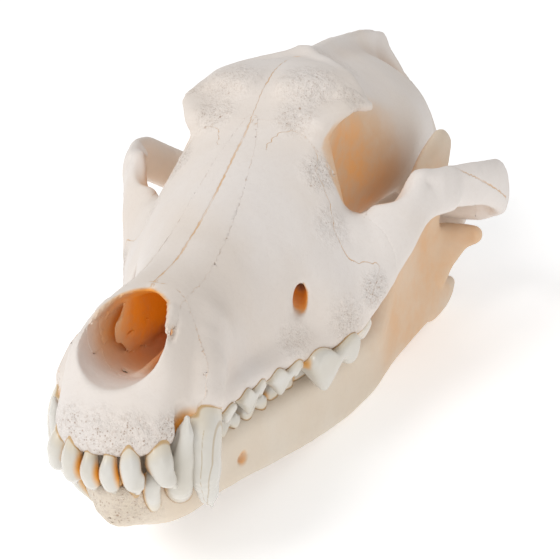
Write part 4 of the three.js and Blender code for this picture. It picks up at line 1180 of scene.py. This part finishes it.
def bone_material(name, light, warm, shade):
    """Pale bone, with stains, seams, grain and pits where its attributes ask for them, painted shade in
    its hollows and in part of its orange, and a painted glow where it is most orange.
    """
    m = Nodes(name)
    broad = m.noise(22, 4)
    fine = m.noise(260, 5, 0.6)
    colour = m.blend(m.ramp(broad, 0.35, 0.7), light, warm)
    # Painted shade: towards the shade colour where the space in front of the bone is filled, in hollows
    # and creases.
    colour = m.blend(m.times(m.ramp(m.value("hollow"), 0.32, 0.62), 0.75), colour, shade)

    stain_and_shade = m.times(m.value("stain_and_shade"), m.ramp(m.noise(55, 4, 0.65), 0.3, 0.7, 0.72, 1.16))
    colour = m.blend(m.ramp(stain_and_shade, 0.0, 0.55), colour, PALE_STAIN_AND_SHADE)
    colour = m.blend(m.ramp(stain_and_shade, 0.4, 1.0), colour, ORANGE_STAIN_AND_SHADE)

    line, near = m.value("line"), m.value("near")
    ragged = m.times(m.noise(420, 2), 0.3)
    seam = m.ramp(m.math("SUBTRACT", m.math("ABSOLUTE", line), ragged), 0.08, -0.1)
    seam = m.times(seam, m.math("LESS_THAN", near, 1.1))
    broken = m.ramp(m.noise(90, 2), 0.3, 0.62, 0.15, 0.75)
    colour = m.blend(m.times(seam, broken), colour, SEAM_BROWN)

    pore = m.value("pore")
    grain = m.times(m.ramp(m.noise(780, 3, 0.7), 0.5, 0.66), m.math("ADD", pore, 0.12))
    colour = m.blend(m.times(grain, 0.55), colour, GRAIN_GREY)
    small = m.times(m.pits(1500, 0.42, 0.3), m.ramp(pore, 0.25, 0.9))
    large = m.times(m.pits(430, 0.22, 0.1), m.ramp(pore, 0.1, 0.6))
    hole = m.math("MAXIMUM", small, large)
    colour = m.blend(m.times(hole, 0.6), colour, PIT_BROWN)

    height = m.math("ADD", m.times(fine, 0.5), m.times(m.noise(70, 4), 0.6))
    height = m.math("ADD", height, m.times(m.noise(520, 3, 0.75), m.times(pore, 6.0)))
    height = m.math("SUBTRACT", height, m.times(seam, 0.5))
    height = m.math("SUBTRACT", height, m.times(hole, 1.2))
    # Painted light: the most orange places glow a little, which lifts the shade deep in the nose and the
    # openings.
    m.set(m.shader.inputs["Emission Color"], PAINTED_LIGHT_GLOW)
    m.set(m.shader.inputs["Emission Strength"], m.ramp(stain_and_shade, 0.45, 1.0, 0.0, 0.22))
    m.shader.inputs["Specular IOR Level"].default_value = 0.35
    return m.finish(colour, height, 0.0005, 0.6, 0.56)


def tooth_material():
    """Glossy enamel, with golden painted shade in the gaps and brown along the gum line and the cracks.
    """
    m = Nodes("enamel")
    colour = m.blend(m.ramp(m.noise(60, 3), 0.35, 0.7), ENAMEL_LIGHT, ENAMEL_WARM)
    gum = m.value("gum")
    # Painted shade: gold where a tooth faces a neighbour, in the gaps between the teeth.
    colour = m.blend(m.ramp(m.value("gap"), 2.3, 0.5, 0.0, 0.95), colour, GAP_PAINTED_SHADE_GOLD)
    colour = m.blend(m.ramp(m.value("crack"), 0.22, 0.05, 0.0, 0.6), colour, CRACK_BROWN)
    colour = m.blend(m.ramp(gum, 2.2, 0.2, 0.0, 0.3), colour, GUM_CREAM)
    colour = m.blend(m.ramp(gum, 0.4, 0.1, 0.0, 0.8), colour, GUM_BROWN)
    m.shader.inputs["Coat Weight"].default_value = 0.5
    m.shader.inputs["Coat Roughness"].default_value = 0.12
    return m.finish(colour, m.noise(240, 3), 0.00015, 0.35, 0.27)


BONE = bone_material("skull_bone", (0.77, 0.715, 0.675), (0.74, 0.66, 0.59), (0.60, 0.46, 0.36))
JAW_BONE = bone_material("jaw_bone", (0.76, 0.69, 0.595), (0.72, 0.61, 0.485), (0.60, 0.41, 0.27))
ENAMEL = tooth_material()

# Bones

# Low corner, high corner and cell.
BONE_GRIDS = {
    "front": ([-24, -5, -4], [24, 62, 42], 0.62),
    "face": ([-62, 8, -5], [62, 124, 72], 0.85),
    "rear": ([-74, 108, -6], [74, 264, 82], 1.15),
    "cheek": ([34, 108, -3], [74, 206, 56], 0.7),
    "cheek_right": ([-74, 108, -3], [-34, 206, 56], 0.7),
    "capsule": ([2, 188, -4], [30, 228, 13], 0.8),
}
behind_nose = all_of(outside(nasal_region), outside(incisor_region), outside(cheek_region))
PIECES = [
    ("incisor_bone", "front", all_of(outside(nasal_region), inside(incisor_region))),
    ("nasal_bones", "face", inside(nasal_region)),
    ("upper_jaw", "face", all_of(behind_nose, inside(face_region))),
    ("braincase", "rear", all_of(outside(face_region), outside(cheek_region), outside(capsule_region))),
    ("cheekbone_left", "cheek", all_of(inside(cheek_region), side_of(1))),
    ("cheekbone_right", "cheek_right", all_of(inside(cheek_region), side_of(-1))),
    ("ear_capsule_left", "capsule", all_of(inside(capsule_region), side_of(1))),
]
UPPER_TEETH = [*UPPER_INCISORS, UPPER_CANINE, *UPPER_CHEEK]
LOWER_TEETH = [*LOWER_FRONT, LOWER_CANINE, *LOWER_CHEEK]


# The even middle of a blob, as a share of its radius.
BLOB_CORE = 0.35
# Room round a tooth's box where its field is read, and where it is meshed.
FIELD_MARGIN = 2
MESH_MARGIN = 1.5


def mirror(points, quads):
    return points * [-1, 1, 1], quads[:, ::-1]


def folded(points):
    """The same points, all on the left side."""
    left = points.copy()
    left[:, 0] = np.abs(left[:, 0])
    return left


def box_of(strokes, margin):
    low = np.min([form.low for _, form, _, _ in strokes], axis=0) - margin
    high = np.max([form.high for _, form, _, _ in strokes], axis=0) + margin
    return low, high


def tooth_field(strokes, points):
    """The tooth's field at points of the left side, and far away from its box."""
    value = np.full(len(points), FAR)
    low, high = box_of(strokes, FIELD_MARGIN)
    near = np.all((points > low) & (points < high), axis=1)
    if near.any():
        at = points[near].T
        held = np.full(near.sum(), FAR)
        for adds, form, blend, _ in strokes:
            e = form.at(*at)
            held = smooth_min(held, e, blend) if adds else smooth_max(held, -e, blend)
        value[near] = held
    return value


def gum_distance(teeth, points):
    return np.min([tooth_field(strokes, folded(points)) for strokes in teeth], axis=0)


def blob(points, centre, radius):
    """Nearly 1 round a place on both sides, and 0 past radius."""
    far = np.linalg.norm(folded(points) - centre, axis=1)
    return 1 - smoothstep(BLOB_CORE, 1.0, far / radius)


# Where the bone is full of small holes: [centre, reach, strength].
PORES = [
    [(0, 1, 4), 11, 0.8], [(8, 3, 5), 9, 0.8], [(14, 9, 4), 8, 0.8], [(17, 26, 8), 9, 0.7],
    [(14, 128, 72), 15, 0.55], [(27, 131, 67), 8, 0.6], [(14, 116, 64), 10, 0.6], [(24, 108, 48), 9, 0.7],
    [(30, 100, 34), 9, 0.45], [(43, 103, 13), 8, 0.9], [(35, 92, 6), 12, 0.6], [(26, 72, 5), 10, 0.5],
    [(6, 5, -17), 12, 0.8], [(8, 172, 70), 12, 0.35], [(10, 8, -24), 10, 0.5],
]

# A coarse grid of all the bones, for the painted shade in hollow places.
whole = Grid([-76, -8, -8], [76, 264, 84], 1.8).sculpt(CRANIUM)
grids = {key: Grid(*box).sculpt(CRANIUM) for key, box in BONE_GRIDS.items()}


# Shifts a line off the surface it is measured from, and the reach of the painted shade in hollows.
EDGE_SHIFT = 0.05
HOLLOW_REACH = 5.0


def shaded(points, normals, solids, teeth, stain_and_shade_of):
    """The lines and the attributes of a bone's points."""
    lines = Lines(points, normals)
    lines.mark(gum_distance(teeth, points) + EDGE_SHIFT)
    pore = np.zeros(len(points))
    for centre, radius, strength in PORES:
        pore = np.maximum(pore, blob(points, centre, radius) * strength)
    hollow = hidden_share(solids, points, normals, HOLLOW_REACH)
    return lines, {"pore": pore, "hollow": hollow, "stain_and_shade": stain_and_shade_of(points, normals, hollow)}


NASAL_FORM = limb(NASAL_PASSAGE)
# The front edge of the eye socket's orange wall, partly painted shade: z, y.
SOCKET_RIM = [[20, 116], [34, 114], [39, 110], [47, 110], [60, 115.5], [66, 119]]


def nose_inside(points):
    """1 in the nose's passage, and 0 outside it."""
    x, y, z = folded(points).T
    return smoothstep(1.6, 0.2, NASAL_FORM.at(x, y, z))


def cranium_stain_and_shade(points, normals, hollow):
    """How orange each point is: deep in the nose, in the eye socket, where the orange is partly painted
    shade, and between the front teeth.
    """
    x, y, z = folded(points).T
    nose = smoothstep(0.0, 1.0, nose_inside(points))
    nose = nose * smoothstep(12, 42, y) * mix(0.6, 1, smoothstep(11, 20, z))
    canine_gap = blob(points, (18.5, 16.5, 3), 7.5) * 0.85
    under_incisors = smoothstep(-0.6, -2.4, z) * smoothstep(16, 12, y) * 0.7
    nerve = blob(points, (25.5, 82, 18), 12) * smoothstep(0.42, 0.6, hollow) * 0.9

    # Painted shade in part: the eye socket and the wall behind it go orange, the wall only where it does
    # not face up; the rest of this orange is the bone's own.
    socket = np.minimum(EYE_SOCKET.at(x, y, z), SOCKET_HOLLOW.at(x, y, z))
    orbit = smoothstep(1.2, 0.1, socket) * blob(points, (27, 126, 36), 46) * 0.5 * smoothstep(50, 40, x)
    rim = np.interp(z, *np.transpose(SOCKET_RIM))
    wall = smoothstep(0.4, 2.4, y - rim) * smoothstep(43, 37, x) * smoothstep(66, 58, z)
    backward = np.maximum(smoothstep(-0.6, -0.35, normals[:, 1]), smoothstep(118, 126, y))
    wall *= smoothstep(0.7, 0.45, normals[:, 2]) * backward * blob(points, (24, 137, 28), 60) * 0.64
    crest_spot = blob(points, (0, 157, 77), 2.6) * 0.8
    stains_and_shade = [nose, canine_gap, under_incisors, nerve, orbit, wall, crest_spot]
    return np.clip(np.max(stains_and_shade, axis=0), 0, 1)


def jaw_stain(points, _normals, _hollow):
    """A wide warm tint towards the back, and orange in the nerve opening."""
    return np.maximum(blob(points, (50, 162, 0), 62) * 0.46, blob(points, (20.6, 47, -21.4), 3))


for name, key, region in PIECES:
    points, quads = largest_part(*grids[key].part(region).mesh())
    points = creased(relaxed(points, quads), grids[key], region)
    normals = normals_of(points, quads)
    lines, values = shaded(points, normals, whole, UPPER_TEETH, cranium_stain_and_shade)
    for suture in SUTURES:
        lines.draw(*suture)
    if name in ("incisor_bone", "nasal_bones", "upper_jaw"):
        for seam in (nasal_region, incisor_region):
            lines.mark(np.abs(seam(*points.T)) + EDGE_SHIFT + NO_LINE * nose_inside(points))
    points = weathered(points, normals, values["pore"])
    values.update(line=lines.line, near=lines.near)
    piece(name + "_fine", points, quads, BONE, "bone", [name], **values)
    if name == "ear_capsule_left":
        right = mirror(points, quads)
        piece("ear_capsule_right_fine", *right, BONE, "bone", ["ear_capsule_right"], **values)

jaw_solid = Grid([-3, -3, -40], [62, 208, 52], 0.95).sculpt(JAW)


def left_half(x, y, z):
    return SEAM_HALF - x + 0 * (y + z)


points, quads = largest_part(*jaw_solid.part(left_half).mesh())
points = creased(relaxed(points, quads), jaw_solid, left_half)
normals = normals_of(points, quads)
lines, values = shaded(points, normals, jaw_solid, LOWER_TEETH, jaw_stain)
# The face where the halves meet stays flat.
away = smoothstep(0, 1.5, points[:, 0])
points = mix(points, weathered(points, normals, values["pore"]), away[:, None])
values.update(line=lines.line, near=lines.near)
for side, half in (("left", (points, quads)), ("right", mirror(points, quads))):
    piece(f"lower_jaw_{side}_fine", *half, JAW_BONE, "jaw_bone", [f"lower_jaw_{side}"], **values)

# Teeth

TOOTH_CELL = 0.42
# Cracks that run down the upper canine.
CRACKS = [
    [[22.9, 14.6, 3], [22.6, 14.4, -6], [21.4, 17, -15], [20.4, 21, -23]],
    [[25, 17.6, 4], [24.6, 16.8, -7], [23, 18.6, -15], [20.9, 23, -22]],
]


def tooth_mesh(strokes):
    return largest_part(*Grid(*box_of(strokes, MESH_MARGIN), TOOTH_CELL).sculpt(strokes).mesh())


def crack_distance(points):
    """Distance to the cracks in a front view, on the canine only."""
    front = points * [1, 0, 1]
    canine_y, canine_reach = 20, 9
    beside = NO_LINE * (np.abs(points[:, 1] - canine_y) > canine_reach)
    lines = [np.array(line) * [1.0, 0, 1] for line in CRACKS]
    return np.min([polyline_distance(front, front * 0, line)[1] + beside for line in lines], axis=0)


def tooth_row(name, teeth, bone, sides, nodes):
    """One piece of all the teeth of a row, on the given sides."""
    all_points, all_quads, all_gaps, count = [], [], [], 0
    for strokes in teeth:
        points, quads = tooth_mesh(strokes)
        others = [tooth_field(other, points) for other in teeth if other is not strokes]
        others += [tooth_field(other, points * [-1, 1, 1]) for other in teeth]
        gaps = np.min(others, axis=0)
        for side in sides:
            p, q = (points, quads) if side > 0 else mirror(points, quads)
            all_points.append(p)
            all_quads.append(q + count)
            all_gaps.append(gaps)
            count += len(p)
    points, quads = np.concatenate(all_points), np.concatenate(all_quads)
    left = folded(points)
    values = {"gum": bone.read(left), "gap": np.concatenate(all_gaps), "crack": crack_distance(left)}
    piece(name, points, quads, ENAMEL, "tooth", nodes, **values)


front_bone = Grid([-2, -5, -8], [46, 122, 36], 0.8).sculpt(CRANIUM)
tooth_row("upper_incisors", UPPER_INCISORS, front_bone, (1, -1), ["incisor_bone"])
tooth_row("upper_canines", [UPPER_CANINE], front_bone, (1, -1), ["upper_jaw"])
tooth_row("upper_cheek_teeth", UPPER_CHEEK, front_bone, (1, -1), ["upper_jaw"])
tooth_row("lower_teeth_left", LOWER_TEETH, jaw_solid, (1,), ["lower_jaw_left"])
tooth_row("lower_teeth_right", LOWER_TEETH, jaw_solid, (-1,), ["lower_jaw_right"])

# Floor, lights and camera


def plane(name, size, place):
    mesh = bpy.data.meshes.new(name)
    half = size / 2
    corners = [(-half, -half, 0), (half, -half, 0), (half, half, 0), (-half, half, 0)]
    mesh.from_pydata(corners, [], [(0, 1, 2, 3)])
    made = bpy.data.objects.new(name, mesh)
    made.location = place
    bpy.context.scene.collection.objects.link(made)
    return made


FLOOR_SIZE = 12
FLOOR_DROP = 0.0005
FLOOR_GLOW = 0.34
SKY_STRENGTH = 0.58
# Place, size in metres and power in watts.
KEY = ((-0.7, -0.9, 1.3), 0.9, 12)
FILL = ((1.0, -1.2, 0.4), 1.2, 3.2)
LIGHT_AIM = (0, 0, 0.05)
CAMERA_PLACE = (0.145055, -0.361127, 0.224463)
# The camera's right, up and backward directions.
CAMERA_AXES = ((0.93803, 0.34066, -0.06359), (-0.09583, 0.43131, 0.89710), (0.33304, -0.83542, 0.43723))
SENSOR_WIDTH = 36
LENS = 79.69
NEAREST = 0.01

floor = plane("floor", FLOOR_SIZE, (0, 0, -FLOOR_DROP))
paper = Nodes("paper")
paper.set(paper.shader.inputs["Base Color"], (0.95, 0.95, 0.95))
paper.shader.inputs["Roughness"].default_value = 0.9
paper.set(paper.shader.inputs["Emission Color"], (1, 1, 1))
paper.shader.inputs["Emission Strength"].default_value = FLOOR_GLOW
paper.shader.inputs["Specular IOR Level"].default_value = 0.1
floor.data.materials.append(paper.material)

world = bpy.data.worlds.new("studio")
world.use_nodes = True
world.node_tree.nodes["Background"].inputs["Color"].default_value = (1, 1, 1, 1)
world.node_tree.nodes["Background"].inputs["Strength"].default_value = SKY_STRENGTH
bpy.context.scene.world = world


def softbox(name, place, size, power):
    light = bpy.data.lights.new(name, "AREA")
    light.shape, light.size, light.energy = "DISK", size, power
    made = bpy.data.objects.new(name, light)
    made.location = place
    made.rotation_euler = (Vector(LIGHT_AIM) - Vector(place)).to_track_quat("-Z", "Y").to_euler()
    bpy.context.scene.collection.objects.link(made)


softbox("key", *KEY)
softbox("fill", *FILL)

camera_data = bpy.data.cameras.new("camera")
camera_data.sensor_width = SENSOR_WIDTH
camera_data.lens = LENS
camera_data.clip_start = NEAREST
camera = bpy.data.objects.new("camera", camera_data)
turn = Matrix(CAMERA_AXES).transposed().to_quaternion().normalized()
camera.matrix_world = Matrix.Translation(CAMERA_PLACE) @ turn.to_matrix().to_4x4()
bpy.context.scene.collection.objects.link(camera)
bpy.context.scene.camera = camera
bpy.context.scene.view_settings.view_transform = "Standard"
